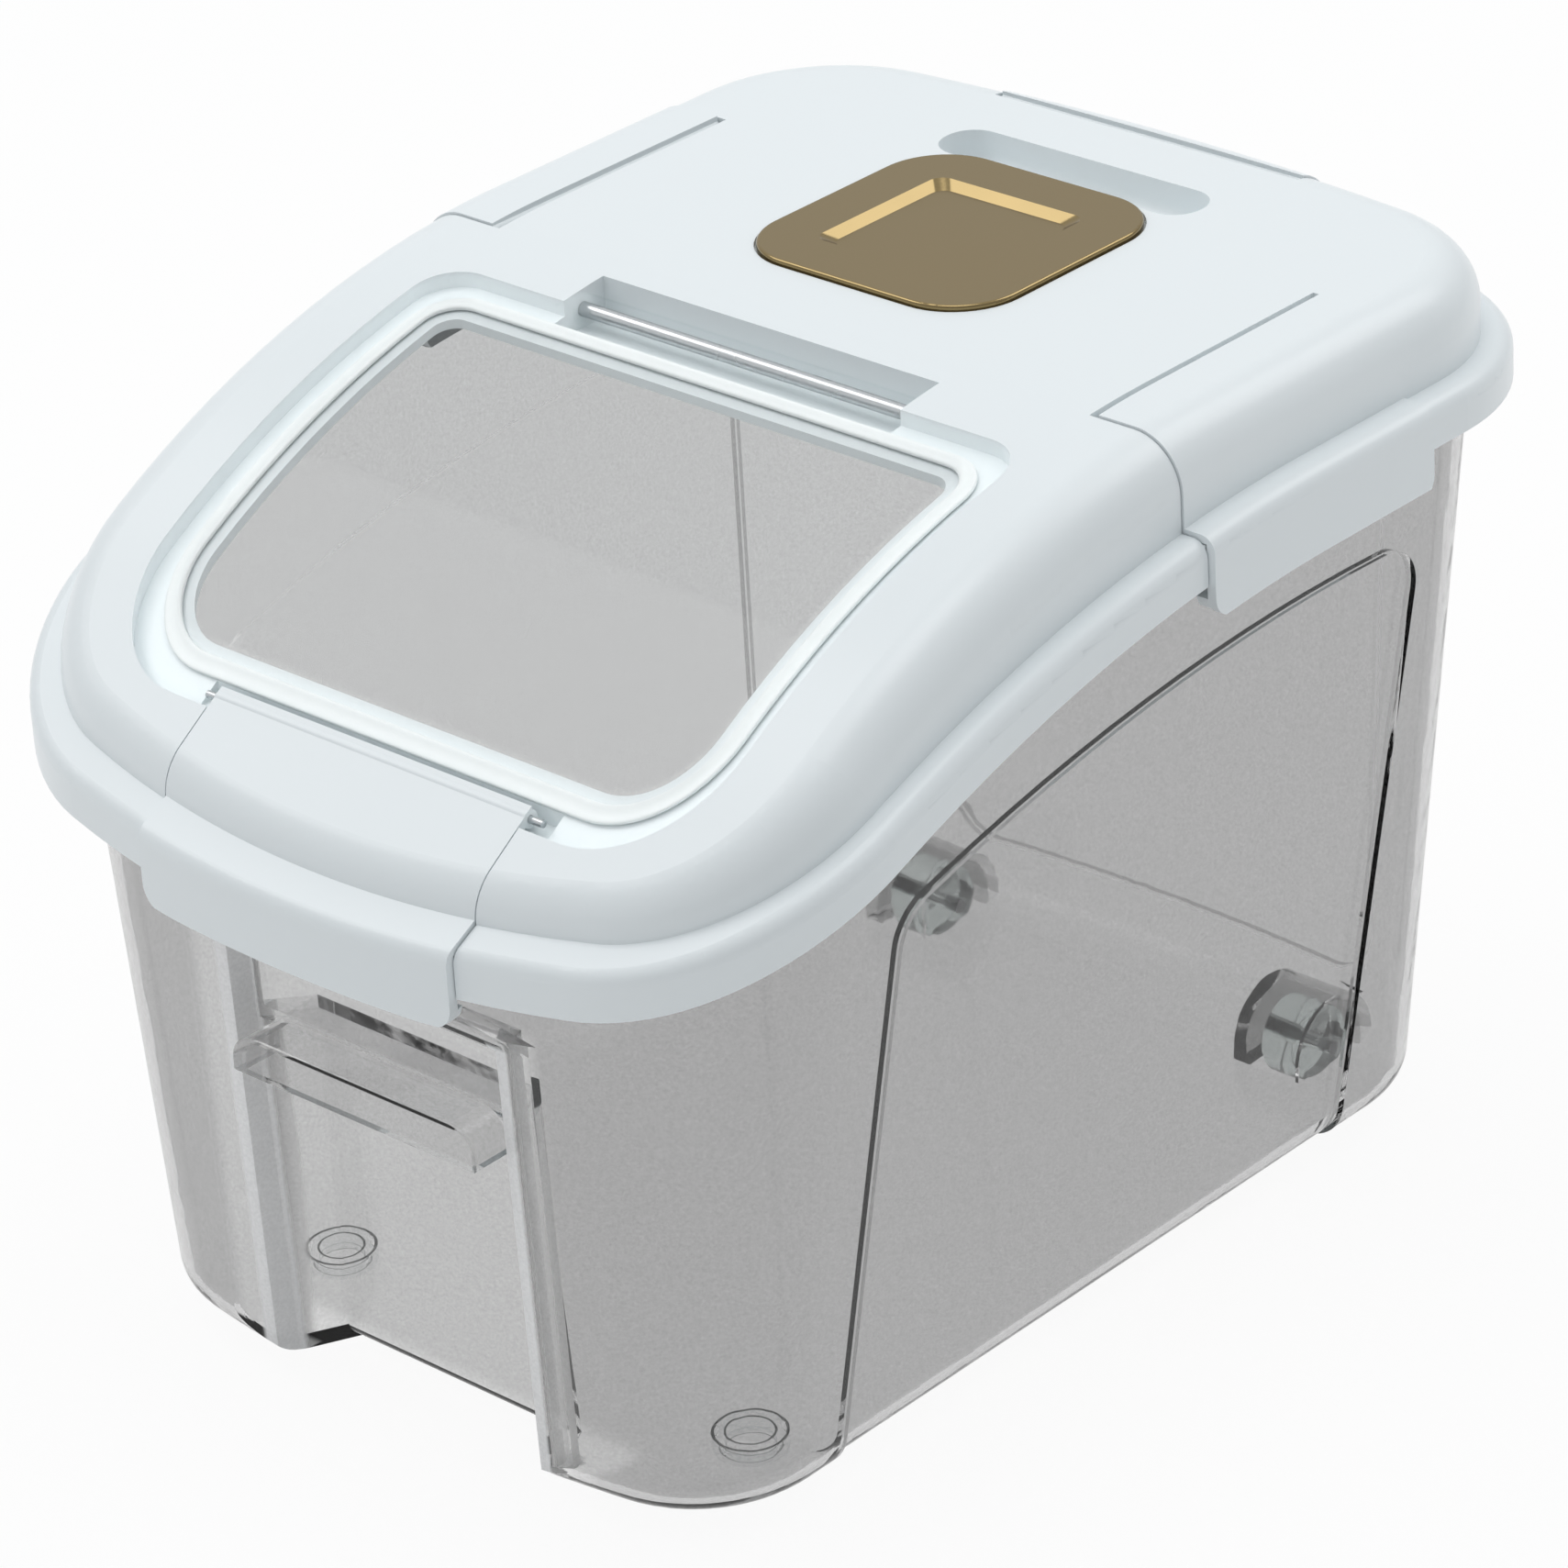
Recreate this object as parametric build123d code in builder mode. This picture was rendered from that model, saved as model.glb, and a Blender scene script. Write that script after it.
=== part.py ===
"""Household rice bin: clear tub on rear wheels, domed lid with a flip-up window and four snap latches.

Millimetres. +X is the bin's right, the flip window faces -Y and +Z is up. The origin is on the
ground under the middle of the tub.
"""
import os
from math import sqrt

from build123d import *

os.makedirs("parts", exist_ok=True)

# ---- lid dome: plan and side profile -------------------------------------------------------
dome_half_width = 128.0
dome_front = -168.0
dome_rear = 168.0
dome_front_bow = 22.0
dome_rear_bow = 11.0
dome_front_corner = 55.0
dome_rear_corner = 50.0
dome_edge_radius = 14.0
top_height = 251.5
top_arc_start = 30.0
top_arc_radius = 285.0
top_arc_end = -128.0
rim_height = 229.0
rim_arc_start = 55.0
rim_arc_radius = 445.0
rim_arc_end = -150.0
lid_wall = 2.5
clearance = 0.3
cut_reach = 24.0
cut_depth = 120.0
profile_tolerance = 0.5

# ---- lid flange and skirt ------------------------------------------------------------------
flange_width = 8.0
skirt_drop = 12.0
skirt_wall = 2.5
flange_roof = 3.4
flange_edge_radius = 4.5
gasket_inner = -1.0
gasket_outer = 4.0
gasket_thickness = 1.5

# ---- flip window ---------------------------------------------------------------------------
flip_half_width = 98.5
flip_rear = -12.2
flip_front = -146.0
flip_latch_notch = -139.6
flip_rear_corner = 12.0
flip_front_corner = 32.0
flip_thickness = 2.6
rebate_depth = 4.2
rebate_side_gap = 0.6
rebate_rear_gap = 1.4
rebate_front_gap = 1.8
window_half_width = 86.0
window_rear = -24.0
window_front = -131.0
window_rear_corner = 6.0
window_front_corner = 20.0
flip_seal_offset = 3.0
flip_seal_width = 5.0

# ---- flip window hinge ---------------------------------------------------------------------
hinge_y = -4.0
hinge_z = 244.0
hinge_half_width = 57.0
hinge_web_overlap = 2.0
hinge_barrel_radius = 4.4
hinge_pin_radius = 2.0
hinge_trough_rear = 4.0
hinge_trough_floor = 239.0
pin_fit = 0.02
pin_running_fit = 0.06
pin_grip = 5.0
pin_end_gap = 0.5

# ---- latches -------------------------------------------------------------------------------
latch_proud = 0.6
front_latch_proud = 0.0
latch_flange_proud = 2.0
latch_thickness = 2.6
latch_pocket_gap = 0.4
latch_pocket_wall = 2.2
latch_end_gap = 0.4
latch_slot = 1.6
latch_lead = 1.3
latch_corner = 6.0
latch_pin_radius = 1.0
latch_barrel_radius = 2.4
latch_pin_depth = 2.2
latch_trough_gap = 1.0
latch_trough_depth = 6.0
latch_flange_raise = 1.2
latch_flange_thickness = 2.2
hinge_block_wall = 2.0
hinge_block_top = 1.0
side_latch_inner = 100.0
side_latch_front = 10.0
side_latch_rear = 98.0
side_latch_drop = 21.0
rear_latch_start = 153.0
rear_latch_half_width = 51.8
rear_latch_drop = 21.0
front_latch_edge = -142.6
front_latch_drop_height = 2.65
front_ear_radius = 2.6
front_ear_width = 5.0
front_ear_gap = 1.0
front_trough_rear = -138.2
front_trough_floor = 187.4
front_latch_half_width = 53.0
front_latch_drop = 18.5
front_latch_pin_y = -143.4
hook_height = 3.2
hook_gap = 3.8
front_hook_gap = 3.6
front_hook_reach = 1.0

# ---- moisture compartment in the lid top ---------------------------------------------------
cover_half = 41.0
cover_centre_y = 74.3
cover_corner = 19.0
cover_proud = 1.4
cover_thickness = 2.6
cover_panel_half = 25.0
cover_panel_depth = 2.0
cover_panel_draft = 3.0
cover_panel_corner = 4.0
pocket_gap = 0.7
pocket_depth = 18.0
pocket_wall = 2.2
pocket_shoulder = 3.0
well_half_width = 43.5
well_overhang = 0.6
well_rear = 132.5
well_corner = 8.5
well_depth = 10.0
well_floor_radius = 4.0
cover_edge_radius = 0.8
cover_skirt_wall = 1.6
cover_skirt_depth = 3.0
vent_width = 3.0
vent_length = 56.0
vent_pitch = 9.0
vent_count = 7
absorber_height = 12.0
absorber_gap = 2.0
absorber_wall = 1.6
sachet_height = 7.0
sachet_gap = 1.0
sachet_edge_radius = 2.3

# ---- tub -----------------------------------------------------------------------------------
tub_floor_height = 5.0
tub_floor_half_width = 104.5
tub_floor_front = -157.0
tub_floor_rear = 154.0
tub_floor_corner = 38.0
tub_floor_front_bow = 12.0
tub_floor_rear_bow = 8.0
tub_top_height = 232.0
tub_top_half_width = 126.0
tub_top_front = -164.0
tub_top_rear = 166.5
tub_top_corner = 48.0
tub_top_front_bow = 18.0
tub_top_rear_bow = 10.0
tub_wall = 2.6
tub_floor_radius = 12.0
lip_reach = 3.5
lip_thickness = 3.0
lip_turn_down = 11.5
lip_wall = 1.5

# ---- tub panels, pull recess ---------------------------------------------------------------
panel_depth = 1.6
panel_top_drop = 46.0
panel_front_top = -86.0
panel_front_bottom = -104.0
panel_rear_top = 114.0
panel_rear_bottom = 96.0
panel_corner = 14.0
rear_panel_half_width = 74.0
rear_panel_bottom = 22.0
panel_inner_x = 92.0
rear_panel_inner_y = 141.0
recess_top = 131.0
recess_half_width = 47.0
recess_bevel_depth = 5.5
recess_bevel_reach = 7.5
recess_bevel_widen = 65.0
recess_bevel_rise = 16.0
recess_back_depth = 11.5
recess_back_half_width = 45.5
finger_space_depth = 23.5
finger_space_half_top = 35.0
finger_space_half_foot = 40.5
recess_foot_radius = 5.0
grip_top = 108.5
grip_bottom = 97.5
grip_front = -161.0
grip_half_width = 42.0
grip_corner = 8.0

# ---- wheels and feet -----------------------------------------------------------------------
wheel_radius = 11.0
wheel_width = 12.0
wheel_centre_x = 67.0
wheel_centre_y = 128.0
wheel_well_radius = 13.5
wheel_well_width = 17.0
wheel_edge_radius = 1.5
axle_radius = 2.0
axle_grip = 1.9
foot_x = 73.0
foot_y = -103.0
foot_radius = 10.0
foot_bore_radius = 6.5
foot_bore_depth = 2.0
foot_edge_radius = 1.0


# ---- profiles shared by several pieces -----------------------------------------------------
class SideProfile:
    """Side profile that is level at the rear, curves down over an arc and ends in a straight nose."""

    def __init__(self, level, start, radius, end):
        self.level = level
        self.start = start
        self.radius = radius
        self.end = end
        self.slope = (start - end) / sqrt(radius**2 - (start - end) ** 2)

    def z(self, y):
        """Height of the profile above the ground at y."""
        bent = min(max(self.start - y, 0.0), self.start - self.end)
        straight = max(self.end - y, 0.0)
        return self.level - self.radius + sqrt(self.radius**2 - bent**2) - self.slope * straight

    def sunk(self, depth):
        """The same profile, offset inwards by depth."""
        inner_radius = self.radius - depth
        inner_end = self.start - (self.start - self.end) * inner_radius / self.radius
        return SideProfile(self.level - depth, self.start, inner_radius, inner_end)

    def lowered(self, drop):
        return SideProfile(self.level - drop, self.start, self.radius, self.end)


top_profile = SideProfile(top_height, top_arc_start, top_arc_radius, top_arc_end)
rim_profile = SideProfile(rim_height, rim_arc_start, rim_arc_radius, rim_arc_end)


def plan(half_width, front, rear, front_bow, rear_bow, front_corner, rear_corner):
    """Plan outline: straight sides, bowed front and rear, rounded corners."""
    with BuildSketch() as outline:
        with BuildLine():
            front_side = front + front_bow
            rear_side = rear - rear_bow
            front_arc = ThreePointArc((-half_width, front_side), (0, front), (half_width, front_side))
            rear_arc = ThreePointArc((half_width, rear_side), (0, rear), (-half_width, rear_side))
            Line(front_arc @ 1, rear_arc @ 0)
            Line(rear_arc @ 1, front_arc @ 0)
        make_face()
        fillet(outline.vertices().group_by(Axis.Y)[0], front_corner)
        fillet(outline.vertices().group_by(Axis.Y)[-1], rear_corner)
    return outline.sketch


def dome_plan(grow):
    return plan(
        dome_half_width + grow,
        dome_front - grow,
        dome_rear + grow,
        dome_front_bow,
        dome_rear_bow,
        dome_front_corner + grow,
        dome_rear_corner + grow,
    )


def rounded_rectangle(half_width, front, rear, front_corner, rear_corner):
    """Plan outline of a piece that is symmetric about the middle plane."""
    with BuildSketch() as outline:
        with Locations((0, (front + rear) / 2)):
            Rectangle(2 * half_width, rear - front)
        fillet(outline.vertices().group_by(Axis.Y)[0], front_corner)
        fillet(outline.vertices().group_by(Axis.Y)[-1], rear_corner)
    return outline.sketch


reach_front = dome_front - cut_reach
reach_rear = dome_rear + cut_reach
reach_side = dome_half_width + cut_reach


def side_band(upper, lower):
    """Solid between two side profiles, right across the lid."""
    with BuildPart() as band:
        with BuildSketch(Plane.YZ):
            with BuildLine():
                for profile in (upper, lower):
                    nose = (reach_front, profile.z(reach_front))
                    bend = (profile.end, profile.z(profile.end))
                    middle = (profile.start + profile.end) / 2
                    Line(nose, bend)
                    ThreePointArc(bend, (middle, profile.z(middle)), (profile.start, profile.level))
                    Line((profile.start, profile.level), (reach_rear, profile.level))
                Line((reach_front, upper.z(reach_front)), (reach_front, lower.z(reach_front)))
                Line((reach_rear, upper.level), (reach_rear, lower.level))
            make_face()
        extrude(amount=reach_side, both=True)
    return band.part


def outer_edges(solid, profile):
    """Edges of the solid's upper outline: near the profile, off its side walls and bend lines."""
    found = []
    for edge in solid.edges().filter_by(Axis.Z, reverse=True).filter_by(Axis.X, reverse=True):
        middle = edge.position_at(0.5)
        if abs(middle.Z - profile.z(middle.Y)) < profile_tolerance:
            found.append(edge)
    return found


def dome(grow, foot=0.0):
    """Solid under the lid's outer skin offset by grow, standing on the rim profile less foot."""
    top = top_profile.sunk(-grow)
    with BuildPart() as solid:
        add(side_band(top, rim_profile.lowered(foot)))
        with BuildSketch():
            add(dome_plan(grow))
        extrude(amount=2 * top_height, mode=Mode.INTERSECT)
        fillet(outer_edges(solid, top), dome_edge_radius + grow)
    return solid.part


def flange(grow, top_drop, bottom_drop, edge_radius=0.0):
    """Solid slab that follows the rim profile, as wide as the dome plus grow."""
    top = rim_profile.lowered(top_drop)
    with BuildPart() as solid:
        add(side_band(top, rim_profile.lowered(bottom_drop)))
        with BuildSketch():
            add(dome_plan(grow))
        extrude(amount=2 * top_height, mode=Mode.INTERSECT)
        if edge_radius > 0:
            fillet(outer_edges(solid, top), edge_radius)
    return solid.part


def write(piece, name):
    piece.label = name
    export_step(piece, f"parts/{name}.step")


# ---- places worked out from the sizes above ------------------------------------------------
side_pin_x = side_latch_inner + latch_slot + latch_barrel_radius
side_pin_z = top_profile.z(side_latch_front) - latch_pin_depth
rear_pin_y = rear_latch_start + latch_slot + latch_barrel_radius
rear_pin_z = side_pin_z
front_pin_z = top_profile.z(front_latch_pin_y) - front_latch_drop_height
pocket_sink = latch_thickness - front_latch_proud + latch_pocket_gap
latch_skirt = flange_width + latch_flange_proud - latch_thickness
pocket_skirt = latch_skirt - latch_pocket_gap
lip_top_drop = flange_roof + gasket_thickness + clearance
hook_tip = lip_reach + clearance
high = 2 * top_height


def box(x, y, z):
    """Solid box between pairs of limits."""
    with BuildPart() as block:
        with Locations(((x[0] + x[1]) / 2, (y[0] + y[1]) / 2, (z[0] + z[1]) / 2)):
            Box(x[1] - x[0], y[1] - y[0], z[1] - z[0])
    return block.part


def rod_x(radius, x, y, z):
    """Round bar along X between two x limits."""
    with BuildPart() as bar:
        with Locations(Location(((x[0] + x[1]) / 2, y, z), (0, 90, 0))):
            Cylinder(radius, x[1] - x[0])
    return bar.part


def rod_y(radius, x, y, z):
    """Round bar along Y between two y limits."""
    with BuildPart() as bar:
        with Locations(Location((x, (y[0] + y[1]) / 2, z), (90, 0, 0))):
            Cylinder(radius, y[1] - y[0])
    return bar.part


def column(outline, z):
    """Plan outline raised between two heights."""
    with BuildPart() as block:
        with BuildSketch(Plane.XY.offset(z[0])):
            add(outline)
        extrude(amount=z[1] - z[0])
    return block.part


def curved_plate(outline, upper_depth, lower_depth):
    """Plate that follows the lid's top between two depths, cut to a plan outline."""
    with BuildPart() as plate:
        add(side_band(top_profile.sunk(upper_depth), top_profile.sunk(lower_depth)))
        with BuildSketch():
            add(outline)
        extrude(amount=high, mode=Mode.INTERSECT)
    return plate.part


# ---- latch places --------------------------------------------------------------------------
latch_far = dome_half_width + cut_reach
side_zone_y = (side_latch_front, side_latch_rear)
rear_zone_x = (-rear_latch_half_width, rear_latch_half_width)
front_zone_x = (-front_latch_half_width - latch_end_gap, front_latch_half_width + latch_end_gap)
latch_trough_floor = side_pin_z - latch_barrel_radius - latch_trough_depth
ear_trough_half_width = front_zone_x[1] + front_ear_width + front_ear_gap


def latch_zones(grow):
    """Boxes of the dome that the side and rear latches take, grown by a wall."""
    with BuildPart() as zones:
        for sign in (-1, 1):
            x = sorted((sign * (side_latch_inner - grow), sign * latch_far))
            add(box(x, (side_latch_front - grow, side_latch_rear + grow), (0, high)))
        rear_x = (rear_zone_x[0] - grow, rear_zone_x[1] + grow)
        add(box(rear_x, (rear_latch_start - grow, reach_rear), (0, high)))
    return zones.part


def front_zone(grow):
    """Box of the dome that the front latch takes, grown by a wall."""
    x = (front_zone_x[0] - grow, front_zone_x[1] + grow)
    return box(x, (reach_front, flip_latch_notch + grow), (0, high))


# ---- lid frame -----------------------------------------------------------------------------
flip_outline = rounded_rectangle(flip_half_width, flip_front, flip_rear, flip_front_corner, flip_rear_corner)


def rebate_outline(grow):
    return rounded_rectangle(
        flip_half_width + rebate_side_gap + grow,
        flip_front - rebate_front_gap - grow,
        flip_rear + rebate_rear_gap + grow,
        flip_front_corner + rebate_side_gap,
        flip_rear_corner + rebate_side_gap,
    )


def window_outline(grow):
    return rounded_rectangle(
        window_half_width + grow,
        window_front - grow,
        window_rear + grow,
        window_front_corner + grow,
        window_rear_corner + grow,
    )


cover_rear = cover_centre_y + cover_half
pocket_half_width = cover_half + pocket_gap
pocket_floor = top_height - pocket_depth
shoulder_z = top_height + cover_proud - cover_thickness - clearance


def square_outline(half, corner):
    return rounded_rectangle(half, cover_centre_y - half, cover_centre_y + half, corner, corner)


def pocket_outline(inset):
    return square_outline(pocket_half_width - inset, cover_corner + pocket_gap - inset)


def well_outline(grow):
    front = cover_rear - well_overhang - grow
    return rounded_rectangle(
        well_half_width + grow, front, well_rear + grow, well_corner + grow, well_corner + grow
    )


def hinge_blocks():
    """Thickened places under the skin that hold the hinge pins."""
    wall = hinge_block_wall
    with BuildPart() as blocks:
        for sign in (-1, 1):
            inner = side_latch_inner - wall
            outer = side_pin_x + latch_barrel_radius + latch_trough_gap + wall
            y = (side_latch_front - pin_grip, side_latch_rear + pin_grip)
            add(box(sorted((sign * inner, sign * outer)), y, (latch_trough_floor - wall, high)))
        rear_y = (rear_latch_start - wall, rear_pin_y + latch_barrel_radius + latch_trough_gap + wall)
        rear_x = (rear_zone_x[0] - pin_grip, rear_zone_x[1] + pin_grip)
        add(box(rear_x, rear_y, (latch_trough_floor - wall, high)))
        hinge_x = hinge_half_width + pin_grip + wall
        hinge_walls_y = (flip_rear + rebate_rear_gap - wall, hinge_trough_rear + wall)
        add(box((-hinge_x, hinge_x), hinge_walls_y, (hinge_trough_floor - wall, high)))
        ear_x = ear_trough_half_width + wall
        front_y = (flip_front - rebate_front_gap - wall, front_trough_rear + wall)
        add(box((-ear_x, ear_x), front_y, (front_trough_floor - wall, high)))
        add(dome(-hinge_block_top, foot=cut_depth), mode=Mode.INTERSECT)
    return blocks.part


def hinge_troughs():
    """Grooves in which the hinge barrels turn."""
    gap = latch_trough_gap
    with BuildPart() as troughs:
        for sign in (-1, 1):
            outer = side_pin_x + latch_barrel_radius + gap
            z = (latch_trough_floor, high)
            add(box(sorted((sign * side_latch_inner, sign * outer)), side_zone_y, z))
        rear_y = (rear_latch_start, rear_pin_y + latch_barrel_radius + gap)
        add(box(rear_zone_x, rear_y, (latch_trough_floor, high)))
        hinge_y_limits = (flip_rear - hinge_barrel_radius, hinge_trough_rear)
        add(box((-hinge_half_width, hinge_half_width), hinge_y_limits, (hinge_trough_floor, high)))
        front_y = (flip_front - rebate_front_gap, front_trough_rear)
        add(box((-ear_trough_half_width, ear_trough_half_width), front_y, (front_trough_floor, high)))
    return troughs.part


def lid_pins(extra_radius=0.0, extra_length=0.0):
    """The four pins carried by the lid frame, by name."""
    grip = pin_grip - pin_end_gap + extra_length
    side_y = (side_latch_front - grip, side_latch_rear + grip)
    rear_x = (rear_zone_x[0] - grip, rear_zone_x[1] + grip)
    hinge_x = (-hinge_half_width - grip, hinge_half_width + grip)
    radius = latch_pin_radius + extra_radius
    return {
        "left_latch_pin": rod_y(radius, -side_pin_x, side_y, side_pin_z),
        "right_latch_pin": rod_y(radius, side_pin_x, side_y, side_pin_z),
        "rear_latch_pin": rod_x(radius, rear_x, rear_pin_y, rear_pin_z),
        "flip_window_hinge_pin": rod_x(hinge_pin_radius + extra_radius, hinge_x, hinge_y, hinge_z),
    }


def lid_cavity():
    """Hollow under the skin, with a second wall behind each latch pocket."""
    with BuildPart() as cavity:
        add(dome(-lid_wall, foot=cut_depth))
        add(latch_zones(latch_pocket_wall), mode=Mode.SUBTRACT)
        add(front_zone(latch_pocket_wall), mode=Mode.SUBTRACT)
        add(dome(-pocket_sink - latch_pocket_wall, foot=cut_depth))
        add(flange(flange_width - skirt_wall, flange_roof, cut_depth))
    return cavity.part


def lid_inner_walls():
    """Window ledge, hinge blocks and moisture compartment, before they are hollowed."""
    with BuildPart() as walls:
        add(curved_plate(rebate_outline(lid_wall), hinge_block_top, rebate_depth + lid_wall))
        add(dome(-hinge_block_top, foot=cut_depth), mode=Mode.INTERSECT)
        add(hinge_blocks())
        roof = top_height - hinge_block_top
        add(column(pocket_outline(pocket_shoulder - pocket_wall), (pocket_floor - pocket_wall, roof)))
        add(column(pocket_outline(-pocket_wall), (shoulder_z - pocket_wall, roof)))
        add(column(well_outline(pocket_wall), (top_height - well_depth - pocket_wall, roof)))
    return walls.part


def vents(z):
    """Row of slots through a floor under the moisture absorber."""
    with BuildPart() as slots:
        with BuildSketch(Plane.XY.offset(z[0])):
            with Locations((0, cover_centre_y)):
                with GridLocations(0, vent_pitch, 1, vent_count):
                    SlotOverall(vent_length, vent_width)
        extrude(amount=z[1] - z[0])
    return slots.part


def latch_pockets():
    """Skin that is cut away so that the latches lie nearly flush."""
    with BuildPart() as pockets:
        add(latch_zones(0))
        add(front_zone(0))
        add(dome(-pocket_sink, foot=cut_depth), mode=Mode.SUBTRACT)
        flange_top = latch_flange_thickness - latch_flange_raise + latch_pocket_gap
        add(flange(pocket_skirt, flange_top, high), mode=Mode.SUBTRACT)
    return pockets.part


def lid_frame():
    with BuildPart() as frame:
        add(dome(0))
        add(flange(flange_width, 0, skirt_drop, flange_edge_radius))
        add(lid_cavity(), mode=Mode.SUBTRACT)
        add(lid_inner_walls())
        add(latch_pockets(), mode=Mode.SUBTRACT)
        add(curved_plate(rebate_outline(0), -lid_wall, rebate_depth), mode=Mode.SUBTRACT)
        add(column(window_outline(0), (0, high)), mode=Mode.SUBTRACT)
        add(hinge_troughs(), mode=Mode.SUBTRACT)
        for pin in lid_pins(pin_fit, pin_fit).values():
            add(pin, mode=Mode.SUBTRACT)
        add(column(pocket_outline(0), (shoulder_z, high)), mode=Mode.SUBTRACT)
        add(column(pocket_outline(pocket_shoulder), (pocket_floor, high)), mode=Mode.SUBTRACT)
        add(finger_well(), mode=Mode.SUBTRACT)
        add(vents((pocket_floor - 2 * pocket_wall, pocket_floor + pocket_wall)), mode=Mode.SUBTRACT)
    return frame.part


def finger_well():
    """Hollow behind the cover, from which a fingertip lifts it."""
    with BuildPart() as well:
        add(column(well_outline(0), (top_height - well_depth, high)))
        fillet(well.faces().sort_by(Axis.Z)[0].outer_wire().edges(), well_floor_radius)
    return well.part


def ring_column(outer, inner, z):
    """Plan ring raised between two heights."""
    with BuildPart() as ring:
        add(column(outer, z))
        add(column(inner, z), mode=Mode.SUBTRACT)
    return ring.part


def lid_gasket():
    with BuildPart() as gasket:
        add(flange(gasket_outer, flange_roof, flange_roof + gasket_thickness))
        add(column(dome_plan(gasket_inner), (0, high)), mode=Mode.SUBTRACT)
    return gasket.part


# ---- flip window ---------------------------------------------------------------------------
def flip_window():
    ear_x = (front_zone_x[1], front_zone_x[1] + front_ear_width)
    plate_bottom = top_profile.sunk(flip_thickness)
    barrel_x = hinge_half_width - latch_end_gap
    with BuildPart() as window:
        add(curved_plate(flip_outline, 0, flip_thickness))
        notch = (flip_front - cut_reach, flip_latch_notch)
        add(box(front_zone_x, notch, (0, high)), mode=Mode.SUBTRACT)
        web_y = (flip_rear - hinge_web_overlap, hinge_y)
        web_z = (plate_bottom.z(flip_rear), top_profile.z(hinge_y) - clearance)
        add(box((-barrel_x, barrel_x), web_y, web_z))
        add(rod_x(hinge_barrel_radius, (-barrel_x, barrel_x), hinge_y, hinge_z))
        bore = rod_x(hinge_pin_radius + pin_running_fit, (-barrel_x, barrel_x), hinge_y, hinge_z)
        add(bore, mode=Mode.SUBTRACT)
        for sign in (-1, 1):
            x = sorted((sign * ear_x[0], sign * ear_x[1]))
            add(rod_x(front_ear_radius, x, front_latch_pin_y, front_pin_z))
        add(front_pin(pin_fit, pin_fit), mode=Mode.SUBTRACT)
    return window.part


def front_pin(extra_radius=0.0, extra_length=0.0):
    reach = front_zone_x[1] + front_ear_width - front_ear_gap + extra_length
    return rod_x(latch_pin_radius + extra_radius, (-reach, reach), front_latch_pin_y, front_pin_z)


def flip_window_gasket():
    outer = window_outline(flip_seal_offset + flip_seal_width)
    depth = (flip_thickness, rebate_depth - clearance)
    with BuildPart() as seal:
        add(curved_plate(outer, depth[0], depth[1]))
        add(column(window_outline(flip_seal_offset), (0, high)), mode=Mode.SUBTRACT)
    return seal.part


# ---- latches -------------------------------------------------------------------------------
def latch_skin(proud, drop, hook_top, hook_reach):
    """Latch shell right round the lid: dome part, flange part and hook, before it is cut to length."""
    flange_outer = flange_width + latch_flange_proud
    with BuildPart() as skin:
        add(dome(proud))
        add(flange(flange_outer, -latch_flange_raise, drop, flange_edge_radius))
        add(dome(proud - latch_thickness, foot=cut_depth), mode=Mode.SUBTRACT)
        add(flange(latch_skirt, latch_flange_thickness - latch_flange_raise, cut_depth), mode=Mode.SUBTRACT)
        add(latch_hook(hook_top, hook_reach))
    return skin.part


def latch_hook(hook_top, hook_reach):
    """Inward bead right round under the skirt."""
    with BuildPart() as hook:
        add(flange(flange_width, hook_top, hook_top + hook_height))
        add(column(dome_plan(hook_reach), (0, high)), mode=Mode.SUBTRACT)
    return hook.part


def latch_cut(width, height, plane, reach):
    """Block with rounded lower corners that cuts a latch to length; width and height are limit pairs."""
    with BuildPart() as block:
        with BuildSketch(plane):
            with Locations(((width[0] + width[1]) / 2, (height[0] + height[1]) / 2)):
                Rectangle(width[1] - width[0], height[1] - height[0])
        extrude(amount=reach)
        lower = block.edges().filter_by(Axis(plane.origin, plane.z_dir))
        fillet(lower.group_by(Axis.Z)[0], latch_corner)
    return block.part


def side_latch(sign):
    width = (side_latch_front + latch_end_gap, side_latch_rear - latch_end_gap)
    bottom = rim_profile.z(side_latch_front) - side_latch_drop
    plane = Plane((side_pin_x - latch_lead, 0, 0), x_dir=(0, 1, 0), z_dir=(1, 0, 0))
    with BuildPart() as latch:
        add(latch_skin(latch_proud, side_latch_drop, skirt_drop + hook_gap, hook_tip))
        add(latch_cut(width, (bottom, high), plane, high), mode=Mode.INTERSECT)
        add(rod_y(latch_barrel_radius, side_pin_x, width, side_pin_z))
        add(rod_y(latch_pin_radius + pin_running_fit, side_pin_x, width, side_pin_z), mode=Mode.SUBTRACT)
    if sign < 0:
        return mirror(latch.part, about=Plane.YZ)
    return latch.part


def rear_latch():
    width = (rear_zone_x[0] + latch_end_gap, rear_zone_x[1] - latch_end_gap)
    bottom = rim_height - rear_latch_drop
    plane = Plane((0, rear_pin_y - latch_lead, 0), x_dir=(-1, 0, 0), z_dir=(0, 1, 0))
    with BuildPart() as latch:
        add(latch_skin(latch_proud, rear_latch_drop, skirt_drop + hook_gap, hook_tip))
        add(latch_cut(width, (bottom, high), plane, high), mode=Mode.INTERSECT)
        add(rod_x(latch_barrel_radius, width, rear_pin_y, rear_pin_z))
        add(rod_x(latch_pin_radius + pin_running_fit, width, rear_pin_y, rear_pin_z), mode=Mode.SUBTRACT)
    return latch.part


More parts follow.
